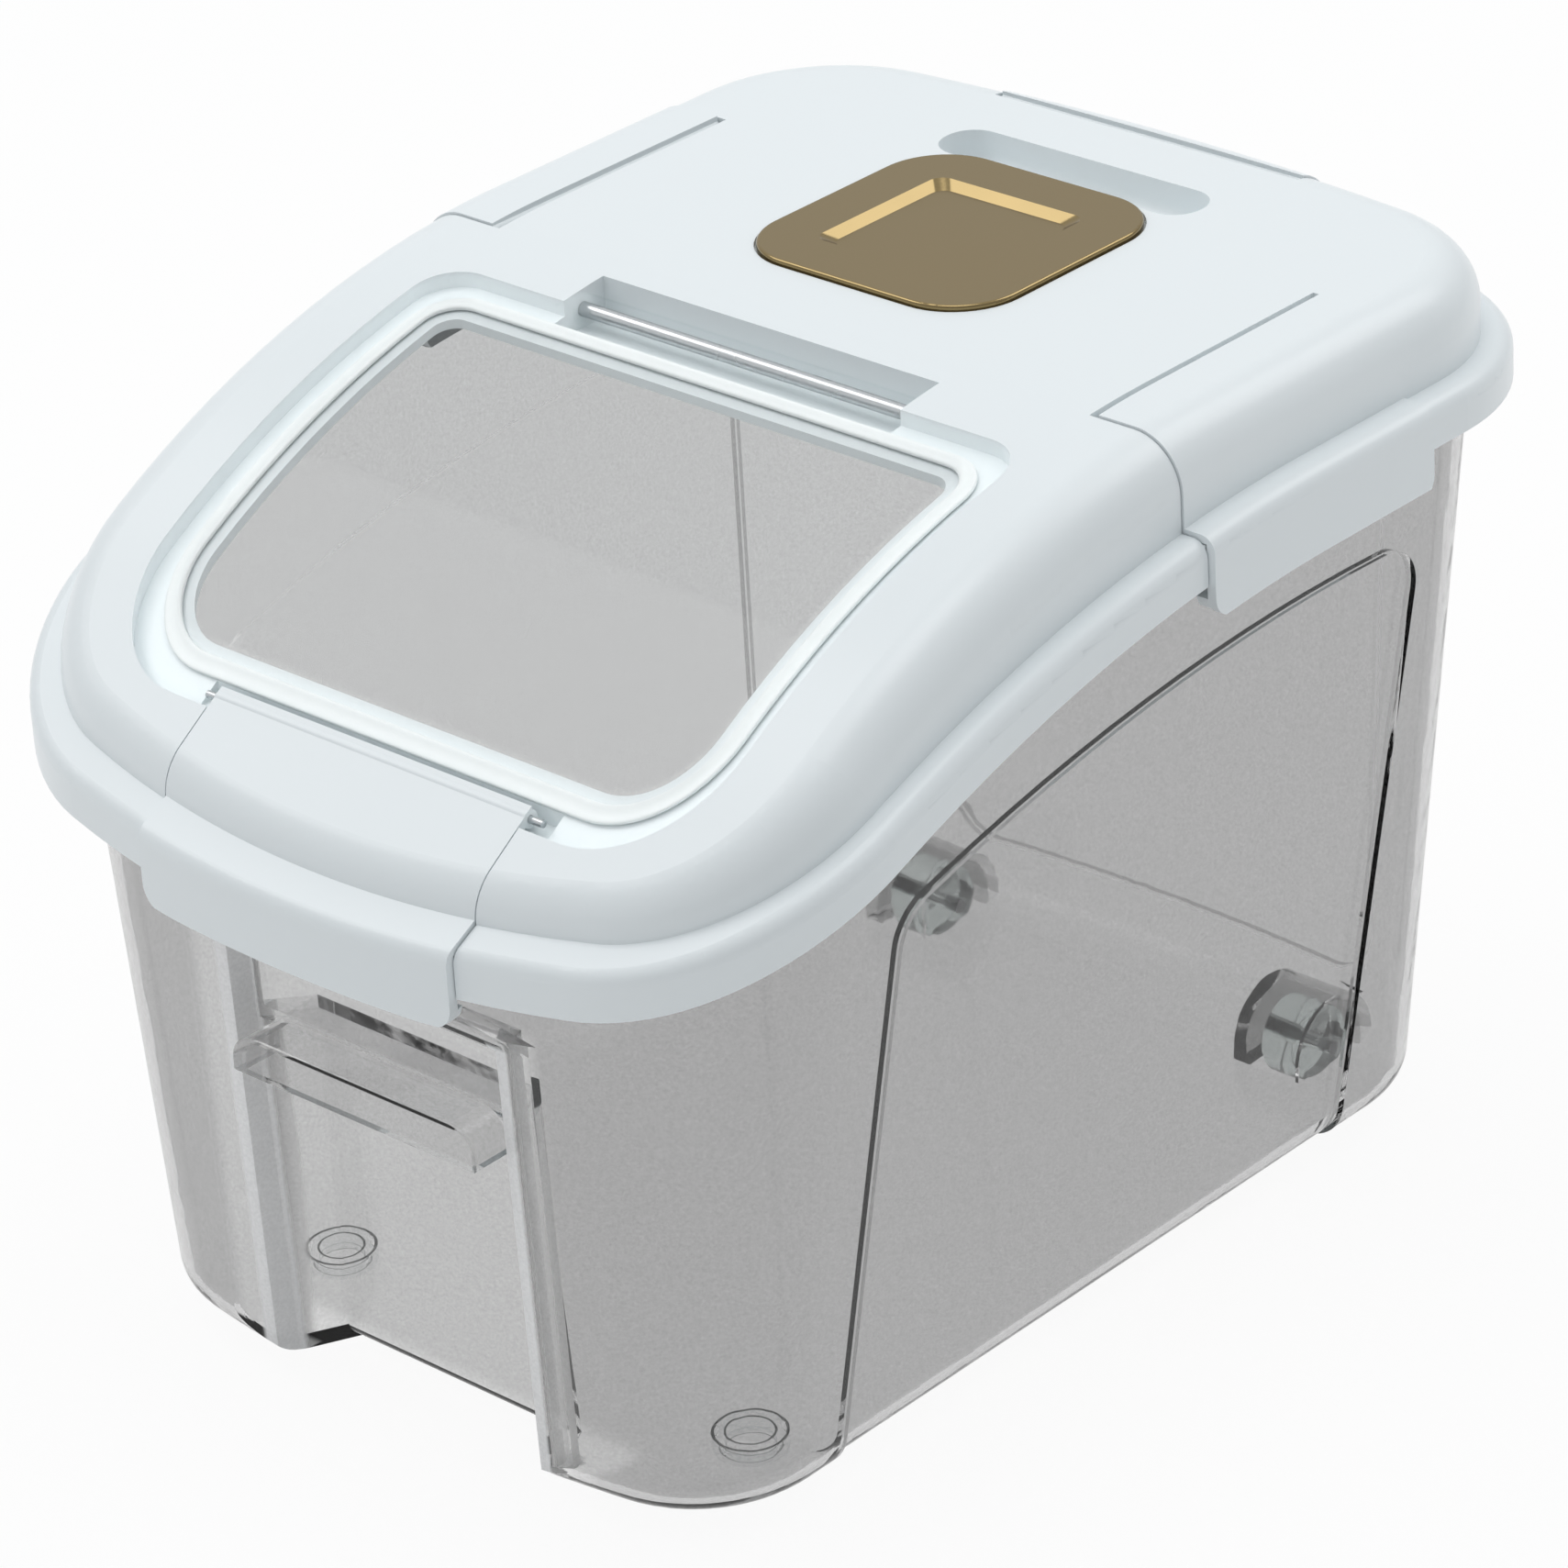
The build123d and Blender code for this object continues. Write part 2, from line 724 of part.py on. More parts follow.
def front_latch():
    width = (-front_latch_half_width, front_latch_half_width)
    bottom = rim_profile.z(dome_front - flange_width) - front_latch_drop
    plane = Plane((0, front_latch_edge, 0), x_dir=(1, 0, 0), z_dir=(0, -1, 0))
    tip = pocket_skirt - front_hook_reach
    with BuildPart() as latch:
        add(latch_skin(front_latch_proud, front_latch_drop, skirt_drop + front_hook_gap, tip))
        add(latch_cut(width, (bottom, high), plane, high), mode=Mode.INTERSECT)
        add(rod_x(latch_barrel_radius, width, front_latch_pin_y, front_pin_z))
        bore = rod_x(latch_pin_radius + pin_running_fit, width, front_latch_pin_y, front_pin_z)
        add(bore, mode=Mode.SUBTRACT)
    return latch.part


# ---- moisture compartment ------------------------------------------------------------------
def compartment_cover():
    top = top_height + cover_proud
    bottom = top - cover_thickness
    skirt_outer = pocket_half_width - pocket_shoulder - pocket_gap
    with BuildPart() as cover:
        add(column(square_outline(cover_half, cover_corner), (bottom, top)))
        fillet(cover.faces().sort_by(Axis.Z)[-1].outer_wire().edges(), cover_edge_radius)
        skirt = square_outline(skirt_outer, cover_corner - pocket_shoulder)
        bore_corner = cover_corner - pocket_shoulder - cover_skirt_wall
        bore = square_outline(skirt_outer - cover_skirt_wall, bore_corner)
        add(ring_column(skirt, bore, (bottom - cover_skirt_depth, bottom)))
        with BuildSketch(Plane.XY.offset(top)):
            add(square_outline(cover_panel_half, cover_panel_corner))
        with BuildSketch(Plane.XY.offset(top - cover_panel_depth)):
            add(square_outline(cover_panel_half - cover_panel_draft, cover_panel_corner))
        loft(mode=Mode.SUBTRACT)
    return cover.part


def absorber_outline(inset):
    half = pocket_half_width - pocket_shoulder - absorber_gap - inset
    return square_outline(half, cover_corner - pocket_shoulder - inset)


def absorber_box():
    z = (pocket_floor, pocket_floor + absorber_height)
    with BuildPart() as case:
        add(column(absorber_outline(0), z))
        add(column(absorber_outline(absorber_wall), (z[0] + absorber_wall, high)), mode=Mode.SUBTRACT)
        add(vents((z[0], z[0] + 2 * absorber_wall)), mode=Mode.SUBTRACT)
    return case.part


def absorber_sachet():
    z = (pocket_floor + absorber_wall, pocket_floor + absorber_wall + sachet_height)
    with BuildPart() as sachet:
        add(column(absorber_outline(absorber_wall + sachet_gap), z))
        fillet(sachet.edges().filter_by(Axis.Z, reverse=True), sachet_edge_radius)
    return sachet.part


# ---- tub -----------------------------------------------------------------------------------
def tub_plan(part_way, inset):
    """Tub outline at a share of the way from floor to top, moved in by inset."""

    def between(low, top):
        return low + (top - low) * part_way

    corner = between(tub_floor_corner, tub_top_corner) - inset
    return plan(
        between(tub_floor_half_width, tub_top_half_width) - inset,
        between(tub_floor_front, tub_top_front) + inset,
        between(tub_floor_rear, tub_top_rear) - inset,
        between(tub_floor_front_bow, tub_top_front_bow),
        between(tub_floor_rear_bow, tub_top_rear_bow),
        corner,
        corner,
    )


def tub_form(inset, floor_lift=0.0):
    """Tapered solid of the tub, offset inwards."""
    rise = floor_lift / (tub_top_height - tub_floor_height)
    with BuildPart() as form:
        with BuildSketch(Plane.XY.offset(tub_floor_height + floor_lift)):
            add(tub_plan(rise, inset))
        with BuildSketch(Plane.XY.offset(tub_top_height)):
            add(tub_plan(1, inset))
        loft(ruled=True)
        fillet(form.faces().sort_by(Axis.Z)[0].outer_wire().edges(), tub_floor_radius - floor_lift)
    return form.part


def side_panels():
    """Blocks over the shallow recessed panels in the tub's sides and rear."""
    top = rim_profile.lowered(panel_top_drop)
    middle_y = (panel_front_top + panel_rear_top) / 2
    front_top = (panel_front_top, top.z(panel_front_top))
    rear_top = (panel_rear_top, top.z(panel_rear_top))
    front_foot = (panel_front_bottom, 0)
    rear_foot = (panel_rear_bottom, 0)
    with BuildPart() as panels:
        with BuildSketch(Plane.YZ.offset(panel_inner_x)) as outline:
            with BuildLine():
                ThreePointArc(front_top, (middle_y, top.z(middle_y)), rear_top)
                Line(rear_top, rear_foot)
                Line(rear_foot, front_foot)
                Line(front_foot, front_top)
            make_face()
            by_height = outline.vertices().group_by(Axis.Y)
            fillet(by_height[-1] + by_height[-2], panel_corner)
        extrude(amount=cut_depth)
        mirror(about=Plane.YZ)
        with BuildSketch(Plane.XZ.offset(-rear_panel_inner_y)) as rear:
            rear_height = rim_height - panel_top_drop - rear_panel_bottom
            with Locations((0, rear_panel_bottom + rear_height / 2)):
                Rectangle(2 * rear_panel_half_width, rear_height)
            fillet(rear.vertices(), panel_corner)
        extrude(amount=-cut_depth)
    return panels.part


def tub_skin(inset, floor_lift=0.0):
    """Tub form with its shallow panels, offset inwards."""
    with BuildPart() as skin:
        add(tub_form(inset, floor_lift))
        add(side_panels(), mode=Mode.SUBTRACT)
        add(tub_form(inset + panel_depth, floor_lift))
    return skin.part


front_slope = (tub_floor_front - tub_top_front) / (tub_top_height - tub_floor_height)


def front_y(z, depth):
    """Place of a depth behind the middle of the tub's sloping front, at a height."""
    return tub_floor_front + depth - front_slope * (z - tub_floor_height)


def front_plane(depth):
    """Upright plane at a depth behind the tub's sloping front."""
    return Plane((0, front_y(0, depth), 0), x_dir=(1, 0, 0), z_dir=(0, -1, -front_slope))


def tapered_block(near, far):
    """Solid between two upright outlines: each is its depth, half widths at top and foot, and top."""
    with BuildPart() as block:
        for depth, top_half, foot_half, top in (near, far):
            upper = [(-top_half, top), (top_half, top)]
            lower = [(foot_half, -cut_reach), (-foot_half, -cut_reach)]
            with BuildSketch(front_plane(depth)):
                with BuildLine():
                    Polyline(*upper, *lower, close=True)
                make_face()
        loft(ruled=True)
    return block.part


def pull_recess(grow):
    """Hollow in the front: flat bevel, side walls and a finger space below the grip shelf."""
    edge = recess_half_width + grow
    mouth = edge + recess_bevel_widen
    back = recess_back_half_width + grow
    top = recess_top + grow
    ceiling = grip_top - tub_wall + grow
    bevel_depth = recess_bevel_depth + grow
    back_depth = recess_back_depth + grow
    mouth_outline = (bevel_depth - recess_bevel_reach, mouth, mouth, top + recess_bevel_rise)
    space_half_top = finger_space_half_top + grow
    space_half_foot = finger_space_half_foot + grow
    with BuildPart() as hollow:
        add(tapered_block(mouth_outline, (bevel_depth, edge, edge, top)))
        add(tapered_block((bevel_depth, edge, edge, top), (back_depth, back, back, top)))
        space_back = (finger_space_depth + grow, space_half_top, space_half_foot, ceiling)
        add(tapered_block((back_depth, back, back, ceiling), space_back))
    return hollow.part


def wheel_wells(grow):
    with BuildPart() as wells:
        for sign in (-1, 1):
            centre = sign * wheel_centre_x
            half = wheel_well_width / 2 + grow
            radius = wheel_well_radius + grow
            x = (centre - half, centre + half)
            add(rod_x(radius, x, wheel_centre_y, wheel_radius))
            add(box(x, (wheel_centre_y - radius, wheel_centre_y + radius), (-radius, wheel_radius)))
    return wells.part


def tub():
    slope = rim_profile.lowered(lip_top_drop)
    with BuildPart() as body:
        add(tub_skin(0))
        add(side_band(slope, rim_profile.lowered(high)), mode=Mode.INTERSECT)
        add(flange(lip_reach, lip_top_drop, lip_turn_down))
        add(tub_lip_hollow(), mode=Mode.SUBTRACT)
        add(pull_recess(0), mode=Mode.SUBTRACT)
        fillet(recess_foot_edge(body), recess_foot_radius)
        add(wheel_wells(0), mode=Mode.SUBTRACT)
        add(tub_cavity(), mode=Mode.SUBTRACT)
        add(grip_shelf())
        for axle in axles(pin_fit, pin_fit):
            add(axle, mode=Mode.SUBTRACT)
    return body.part


def recess_foot_edge(body):
    """Edge of the underside along the back of the finger space."""
    underside = body.edges().group_by(Axis.Z)[0].filter_by(Axis.X)
    return underside.sort_by(Axis.Y)[0]


def tub_lip_hollow():
    """Space inside the turned-down lip, outside the tub wall."""
    with BuildPart() as hollow:
        add(flange(lip_reach - lip_wall, lip_top_drop + lip_thickness, cut_depth))
        add(tub_skin(0), mode=Mode.SUBTRACT)
    return hollow.part


def tub_cavity():
    with BuildPart() as cavity:
        add(tub_skin(tub_wall, tub_wall))
        add(pull_recess(tub_wall), mode=Mode.SUBTRACT)
        add(wheel_wells(tub_wall), mode=Mode.SUBTRACT)
    return cavity.part


def grip_outline(inset):
    """Front view of the grip shelf, with rounded upper corners."""
    with BuildSketch() as outline:
        with Locations((0, (grip_top + grip_bottom) / 2 - inset)):
            Rectangle(2 * (grip_half_width - inset), grip_top - grip_bottom)
        fillet(outline.vertices().group_by(Axis.Y)[-1], grip_corner - inset)
    return outline.sketch


def grip_shelf():
    """Shelf over the finger space, turned down at its front and ends."""
    back = front_y(grip_top, recess_back_depth + tub_wall / 2)
    reach = back - grip_front
    with BuildPart() as shelf:
        with BuildSketch(Plane.XZ.offset(-back)):
            add(grip_outline(0))
        extrude(amount=reach)
        with BuildSketch(Plane.XZ.offset(-back)):
            add(grip_outline(tub_wall))
        extrude(amount=reach - tub_wall, mode=Mode.SUBTRACT)
    return shelf.part


def axles(extra_radius=0.0, extra_length=0.0):
    half = wheel_well_width / 2 + axle_grip + extra_length
    bars = []
    for sign in (-1, 1):
        x = (sign * wheel_centre_x - half, sign * wheel_centre_x + half)
        bars.append(rod_x(axle_radius + extra_radius, x, wheel_centre_y, wheel_radius))
    return bars


def wheel(sign):
    half = wheel_width / 2
    x = (sign * wheel_centre_x - half, sign * wheel_centre_x + half)
    with BuildPart() as roller:
        add(rod_x(wheel_radius, x, wheel_centre_y, wheel_radius))
        fillet(roller.edges(), wheel_edge_radius)
        add(rod_x(axle_radius + pin_running_fit, x, wheel_centre_y, wheel_radius), mode=Mode.SUBTRACT)
    return roller.part


def foot(sign):
    with BuildPart() as pad:
        with Locations((sign * foot_x, foot_y, tub_floor_height / 2)):
            Cylinder(foot_radius, tub_floor_height)
        fillet(pad.edges().group_by(Axis.Z)[0], foot_edge_radius)
        with Locations((sign * foot_x, foot_y, 0)):
            Cylinder(foot_bore_radius, 2 * foot_bore_depth, mode=Mode.SUBTRACT)
    return pad.part


# ---- write every piece ---------------------------------------------------------------------
left_axle, right_axle = axles()
pieces = {
    "tub": tub(),
    "left_foot": foot(-1),
    "right_foot": foot(1),
    "left_axle": left_axle,
    "right_axle": right_axle,
    "left_wheel": wheel(-1),
    "right_wheel": wheel(1),
    "lid_frame": lid_frame(),
    "lid_gasket": lid_gasket(),
    "flip_window": flip_window(),
    "flip_window_gasket": flip_window_gasket(),
    "front_latch": front_latch(),
    "front_latch_pin": front_pin(),
    "left_latch": side_latch(-1),
    "right_latch": side_latch(1),
    "rear_latch": rear_latch(),
    "compartment_cover": compartment_cover(),
    "absorber_box": absorber_box(),
    "absorber_sachet": absorber_sachet(),
}
pieces.update(lid_pins())
for name, piece in pieces.items():
    write(piece, name)
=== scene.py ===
"""Looks of the rice bin with a flip lid, laid out as an add-on and run as a script."""
import math

import bmesh
import bpy
from mathutils import Matrix, Vector


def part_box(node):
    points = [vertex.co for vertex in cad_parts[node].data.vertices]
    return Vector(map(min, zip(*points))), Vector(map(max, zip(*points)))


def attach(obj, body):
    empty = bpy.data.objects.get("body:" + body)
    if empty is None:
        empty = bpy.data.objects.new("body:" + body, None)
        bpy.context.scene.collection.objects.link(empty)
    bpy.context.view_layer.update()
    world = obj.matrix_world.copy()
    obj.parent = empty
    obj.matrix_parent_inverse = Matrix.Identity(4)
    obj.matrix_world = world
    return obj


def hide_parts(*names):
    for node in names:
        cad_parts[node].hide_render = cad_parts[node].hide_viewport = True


bl_info = {
    "name": "Rice Bin With Flip Lid",
    "version": (1, 0, 0),
    "blender": (4, 5, 0),
    "location": "View3D > Sidebar > Rice Bin",
    "description": "Dresses the packed rice bin in moulded plastics, gold and rubber",
    "category": "Object",
}

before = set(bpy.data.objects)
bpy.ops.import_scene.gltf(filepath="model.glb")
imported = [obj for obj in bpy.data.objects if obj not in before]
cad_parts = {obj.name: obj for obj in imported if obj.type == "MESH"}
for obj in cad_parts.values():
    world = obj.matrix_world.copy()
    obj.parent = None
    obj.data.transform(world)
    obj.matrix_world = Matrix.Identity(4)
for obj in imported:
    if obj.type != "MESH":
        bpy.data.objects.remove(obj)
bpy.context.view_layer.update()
MM = 0.001
seal_low, seal_high = (Vector(corner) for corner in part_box("flip_window_gasket"))
sachet_low, sachet_high = (Vector(corner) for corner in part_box("absorber_sachet"))

# Places on the CAD model, in metres: the lid's top profile runs level, down an arc, then straight.
LID_TOP_LEVEL = 251.5 * MM
LID_ARC_RADIUS = 285.0 * MM
LID_ARC_START = 30.0 * MM
LID_ARC_END = -128.0 * MM
SEAL_SINK = 3.25 * MM  # from the lid's top profile down to the middle of the seal
SEAL_RING_WIDTH = 5.0 * MM  # of the CAD seal, from its outer edge to its middle line and back
FOOT_SIDE = 73.0 * MM
FOOT_FRONT = 103.0 * MM
FOOT_RIM = 9.7 * MM  # radius of the rounded rim
FOOT_HOLLOW = 6.5 * MM  # radius of the hollow underneath

# Zones of the tub, in millimetres: an axis, then where the zone fades out and where it is whole.
# "side" is the distance from the middle plane.
# Painted light: the first zone lightens the walls round the pull recess, the second paints highlights along
# the recess's edges.
RECESS_LIGHT_ZONE = (("side", 62, 57), ("Y", -125, -133), ("Z", 142, 136))
EDGE_HIGHLIGHT_ZONE = (("side", 44, 45), ("side", 52, 50), ("Y", -138, -141), ("Z", 134, 131))


def linear(hex_colour):
    """Linear red, green and blue of an sRGB hex colour."""
    parts = [int(hex_colour[start:start + 2], 16) / 255 for start in (1, 3, 5)]
    return tuple(part / 12.92 if part <= 0.04045 else ((part + 0.055) / 1.055) ** 2.4 for part in parts)


def rgba(colour):
    return (*colour, 1.0)


# ---- settings ------------------------------------------------------------------------------
def colour_property(name, description, hex_colour):
    return bpy.props.FloatVectorProperty(
        name=name, description=description, default=linear(hex_colour), subtype="COLOR", size=3, min=0, max=1
    )


def share_property(name, description, default):
    return bpy.props.FloatProperty(
        name=name, description=description, default=default, subtype="FACTOR", min=0, max=1
    )


def length_property(name, description, millimetres):
    return bpy.props.FloatProperty(
        name=name, description=description, default=millimetres * MM, unit="LENGTH", precision=5
    )


class LidSettings(bpy.types.PropertyGroup):
    colour: colour_property("Colour", "Cool white of the lid and latches", "#EBF1F3")
    # The seam colour is painted shade: ambient occlusion blends it into the white in seams narrower than the
    # given width.
    painted_seam_shade: colour_property("Gap colour", "Shade that gathers in the narrow seams", "#5E6466")
    seam_shade_width: length_property("Gap width", "Widest seam that looks dark", 3.0)
    roughness: share_property("Roughness", "Satin of the moulded skin", 0.3)
    grain: length_property("Grain", "Width of the faint ripple left by the mould", 2.5)


class TubSettings(bpy.types.PropertyGroup):
    colour: colour_property("Colour", "Smoke tint of one wall", "#DADADA")
    # Painted light: a lighter colour round the pull recess, and white painted highlights along its edges.
    painted_recess_light: colour_property("Recess colour", "Lighter tint round the pull recess", "#F6F6F6")
    painted_edge_highlight: colour_property("Edge colour", "Light that gathers in the recess's edges", "#FFFFFF")
    rim_colour: colour_property("Rim colour", "Smoke tint of a wall seen along its face", "#3C3C3C")
    roughness: share_property("Roughness", "Haze of the clear plastic", 0.03)
    grain: length_property("Grain", "Width of the specks in the haze", 0.9)
    bending: bpy.props.FloatProperty(
        name="Bending", description="How far the thin walls bend light that passes through", default=1.15
    )
    smoke: bpy.props.FloatProperty(
        name="Smoke", description="Darkening for each metre within the plastic", default=14.0
    )
    wheel_colour: colour_property("Wheel colour", "Tint of the wheels", "#DCE4E2")
    foot_colour: colour_property("Foot colour", "Clear rubber of the feet", "#F2F4F4")


class WindowSettings(bpy.types.PropertyGroup):
    colour: colour_property("Colour", "Clear plastic of the window's rim, over the seal", "#F6F9F9")
    # The pane colour is painted shade: a grey tint within the seal that darkens the view into the bin; over
    # the seal the window stays clear, so more light reaches the seal.
    painted_pane_shade: colour_property("Pane colour", "Smoke tint of the window within its seal", "#C6C9C9")
    roughness: share_property("Roughness", "Haze of the window", 0.01)
    seal_width: length_property("Seal width", "Width of the seal across both lips", 4.6)
    seal_thickness: length_property("Seal thickness", "Thickness of the seal at its lips", 1.1)
    seal_front_corner: length_property("Seal front corner", "Radius of the seal's front corners", 25.5)
    seal_rear_corner: length_property("Seal rear corner", "Radius of the seal's rear corners", 11.5)
    seal_colour: colour_property("Seal colour", "White silicone", "#E9ECEC")


class CompartmentSettings(bpy.types.PropertyGroup):
    cover_colour: colour_property("Cover colour", "Satin gold of the compartment cover", "#98855E")
    cover_roughness: share_property("Cover roughness", "Satin of the plated skin", 0.16)
    case_colour: colour_property("Case colour", "Natural white of the absorber's case", "#F0F1EE")
    paper_colour: colour_property("Paper colour", "Off-white of the sachet's paper", "#F1EEE6")
    hem: length_property("Hem", "Width of the sachet's pressed edge", 4.0)
    pull_in: length_property("Pull-in", "How far the sachet's sides draw in between its corners", 2.2)


class StageSettings(bpy.types.PropertyGroup):
    azimuth: bpy.props.FloatProperty(
        name="Azimuth", description="Camera's turn to the right of the front", default=math.radians(43.56),
        subtype="ANGLE"
    )
    elevation: bpy.props.FloatProperty(
        name="Elevation", description="Camera's height angle", default=math.radians(27.71), subtype="ANGLE"
    )
    roll: bpy.props.FloatProperty(
        name="Roll", description="Camera's tilt about its own line of sight", default=math.radians(-3.41),
        subtype="ANGLE"
    )
    distance: length_property("Distance", "From the camera to the bin", 1765.06)
    target_height: length_property("Target height", "Point the camera looks at", 122.39)
    lens: bpy.props.FloatProperty(name="Lens", description="Focal length", default=156.05, unit="CAMERA")
    lamp: bpy.props.FloatProperty(
        name="Lamp", description="Power of each of the three wide lamps", default=6.8, unit="POWER"
    )
    sky_low: share_property("Low sky", "Even light from the side that faces away", 0.32)
    sky_high: share_property("High sky", "Even light from above and the left", 0.78)


# ---- materials -----------------------------------------------------------------------------
SEAM_SHUT, SEAM_OPEN = 0.03, 0.25  # openness at which a seam's painted shade is darkest, and no longer painted
RIM_START, RIM_FULL = 0.8, 1.0  # how far a tub wall turns from the eye as its rim tint comes in
SPECK_SHADE = 0.88  # darkest speck of the tub's haze
HIGHLIGHT_CLEARNESS = 0.1  # share of light that still passes the painted highlights on the recess's edges
PANE_START, PANE_FULL = 4.0 * MM, 6.5 * MM  # from the seal's outer edge to where the pane's grey tint of painted shade comes in
RING_HALF, HOLLOW_HALF = 0.5 * MM, 0.3 * MM  # half widths of the two circles seen on a foot
RING_STRENGTH = 0.9  # how solid those circles look
RUBBER_TRACE = 0.02  # how solid the rest of a foot looks
NOISE_LOW, NOISE_HIGH = 0.2, 0.8  # part of the noise that a patch's drift takes up
MOULD_DRIFT = 0.015  # of the lid's roughness, either way
PLATING_DRIFT = (-0.03, 0.05)  # of the gold's roughness
STEEL_ROUGHNESS = (0.22, 0.3)


def add_node(tree, kind, settings=(), values=(), links=()):
    """Adds a node with its settings, socket values and incoming links."""
    node = tree.nodes.new(kind)
    for name, value in dict(settings).items():
        setattr(node, name, value)
    for name, value in dict(values).items():
        node.inputs[name].default_value = value
    for name, source in dict(links).items():
        tree.links.new(source, node.inputs[name])
    return node


def formula(tree, known, steps):
    """Adds the steps of a sum, each named, and returns every value by its name."""
    found = dict(known)
    for name, operation, *terms in steps:
        node = add_node(tree, "ShaderNodeMath", {"operation": operation})
        for socket, term in zip(node.inputs, terms):
            if isinstance(term, str):
                tree.links.new(found[term], socket)
            else:
                socket.default_value = term
        found[name] = node.outputs[0]
    return found


def fade(tree, value, start, end, low=0.0, high=1.0, kind="SMOOTHSTEP"):
    """Value that eases from low to high while another runs from start to end."""
    node = add_node(
        tree,
        "ShaderNodeMapRange",
        {"interpolation_type": kind},
        {"From Min": start, "From Max": end, "To Min": low, "To Max": high},
        {"Value": value},
    )
    return node.outputs["Result"]


def blend(tree, share, under, over, kind="MIX"):
    """Mixes two colours. Each of the three terms is a value or a socket."""
    values, links = {}, {}
    for socket, term in ((0, share), (6, under), (7, over)):
        group = links if isinstance(term, bpy.types.NodeSocket) else values
        group[socket] = term
    settings = {"data_type": "RGBA", "blend_type": kind}
    return add_node(tree, "ShaderNodeMix", settings, values, links).outputs[2]


def place_axes(tree):
    """X, Y and Z of the point that is shaded, in metres on the CAD model."""
    place = add_node(tree, "ShaderNodeTexCoord")
    return add_node(tree, "ShaderNodeSeparateXYZ", links={0: place.outputs["Object"]}).outputs


def new_material(name, shader_values):
    """Material with one Principled shader, and its tree and shader."""
    material = bpy.data.materials.new(name)
    material.use_nodes = True
    tree = material.node_tree
    tree.nodes.clear()
    shader = add_node(tree, "ShaderNodeBsdfPrincipled", values=shader_values)
    output = add_node(tree, "ShaderNodeOutputMaterial")
    tree.links.new(shader.outputs["BSDF"], output.inputs["Surface"])
    return material, tree, shader


def patches(tree, width, low, high):
    """Value that drifts between low and high over patches about as wide as given, in metres."""
    place = add_node(tree, "ShaderNodeTexCoord")
    waves = add_node(
        tree,
        "ShaderNodeTexNoise",
        values={"Scale": 1 / width, "Detail": 2.0, "Roughness": 0.5},
        links={"Vector": place.outputs["Object"]},
    )
    return fade(tree, waves.outputs["Fac"], NOISE_LOW, NOISE_HIGH, low, high)


def ripple(tree, shader, width, height):
    """Bump of the given width and height, in metres."""
    waves = patches(tree, width, 0.0, 1.0)
    bump = add_node(
        tree, "ShaderNodeBump", values={"Strength": 1.0, "Distance": height}, links={"Height": waves}
    )
    tree.links.new(bump.outputs["Normal"], shader.inputs["Normal"])


def moulded_white(settings):
    """Injection-moulded ABS: even cool white with a soft sheen, and painted shade in its narrow seams."""
    material, tree, shader = new_material("moulded_white_abs", {"IOR": 1.54})
    ripple(tree, shader, width=settings.grain, height=0.004 * MM)
    sheen = patches(tree, 60 * MM, settings.roughness - MOULD_DRIFT, settings.roughness + MOULD_DRIFT)
    tree.links.new(sheen, shader.inputs["Roughness"])
    # Painted shade: ambient occlusion darkens the white towards the seam colour where parts lie close.
    shelter = add_node(
        tree,
        "ShaderNodeAmbientOcclusion",
        {"samples": 8, "only_local": True},
        {"Distance": settings.seam_shade_width},
    )
    openness = fade(tree, shelter.outputs["AO"], SEAM_SHUT, SEAM_OPEN)
    tone = blend(tree, openness, rgba(settings.painted_seam_shade), rgba(settings.colour))
    tree.links.new(tone, shader.inputs["Base Color"])
    return material


def zone_share(tree, limits):
    """One inside a zone of the tub and none outside. Each limit is an axis, then a start and an end."""
    axes = place_axes(tree)
    side = add_node(tree, "ShaderNodeMath", {"operation": "ABSOLUTE"}, links={0: axes["X"]}).outputs[0]
    share = None
    for axis, outside, inside in limits:
        step = fade(tree, side if axis == "side" else axes[axis], outside * MM, inside * MM)
        if share is not None:
            both = add_node(tree, "ShaderNodeMath", {"operation": "MULTIPLY"}, links={0: share, 1: step})
            step = both.outputs[0]
        share = step
    return share


def smoked_clear(settings):
    """Smoke-tinted SAN, polished mould: clear and glossy, darker where more walls lie behind, with painted
    light round the pull recess and painted highlights on its edges.
    """
    material, tree, shader = new_material(
        "smoked_clear_san",
        {
            "IOR": settings.bending,
            "Roughness": settings.roughness,
            "Coat Weight": 0.3,
            "Coat Roughness": 0.03,
            "Coat IOR": 1.57,
        },
    )
    depth = add_node(
        tree,
        "ShaderNodeVolumeAbsorption",
        values={"Color": rgba(linear("#000000")), "Density": settings.smoke},
    )
    tree.links.new(depth.outputs["Volume"], tree.nodes["Material Output"].inputs["Volume"])
    ripple(tree, shader, width=12 * MM, height=0.02 * MM)
    # Painted light: the recess zone takes a lighter colour, and its edges a white painted highlight that lets
    # little light through.
    recess = zone_share(tree, RECESS_LIGHT_ZONE)
    edges = zone_share(tree, EDGE_HIGHLIGHT_ZONE)
    specks = patches(tree, settings.grain, SPECK_SHADE, 1.0)
    grazing = add_node(tree, "ShaderNodeLayerWeight", values={"Blend": 0.5})
    rim = fade(tree, grazing.outputs["Facing"], RIM_START, RIM_FULL)
    tone = rgba(settings.colour)
    for share, colour in (
        (rim, settings.rim_colour),
        (recess, settings.painted_recess_light),
        (edges, settings.painted_edge_highlight),
    ):
        tone = blend(tree, share, tone, rgba(colour))
    grained = blend(tree, 1.0, tone, specks, "MULTIPLY")
    tree.links.new(grained, shader.inputs["Base Color"])
    clearness = fade(tree, edges, 0.0, 1.0, 1.0, HIGHLIGHT_CLEARNESS, "LINEAR")
    tree.links.new(clearness, shader.inputs["Transmission Weight"])
    return material


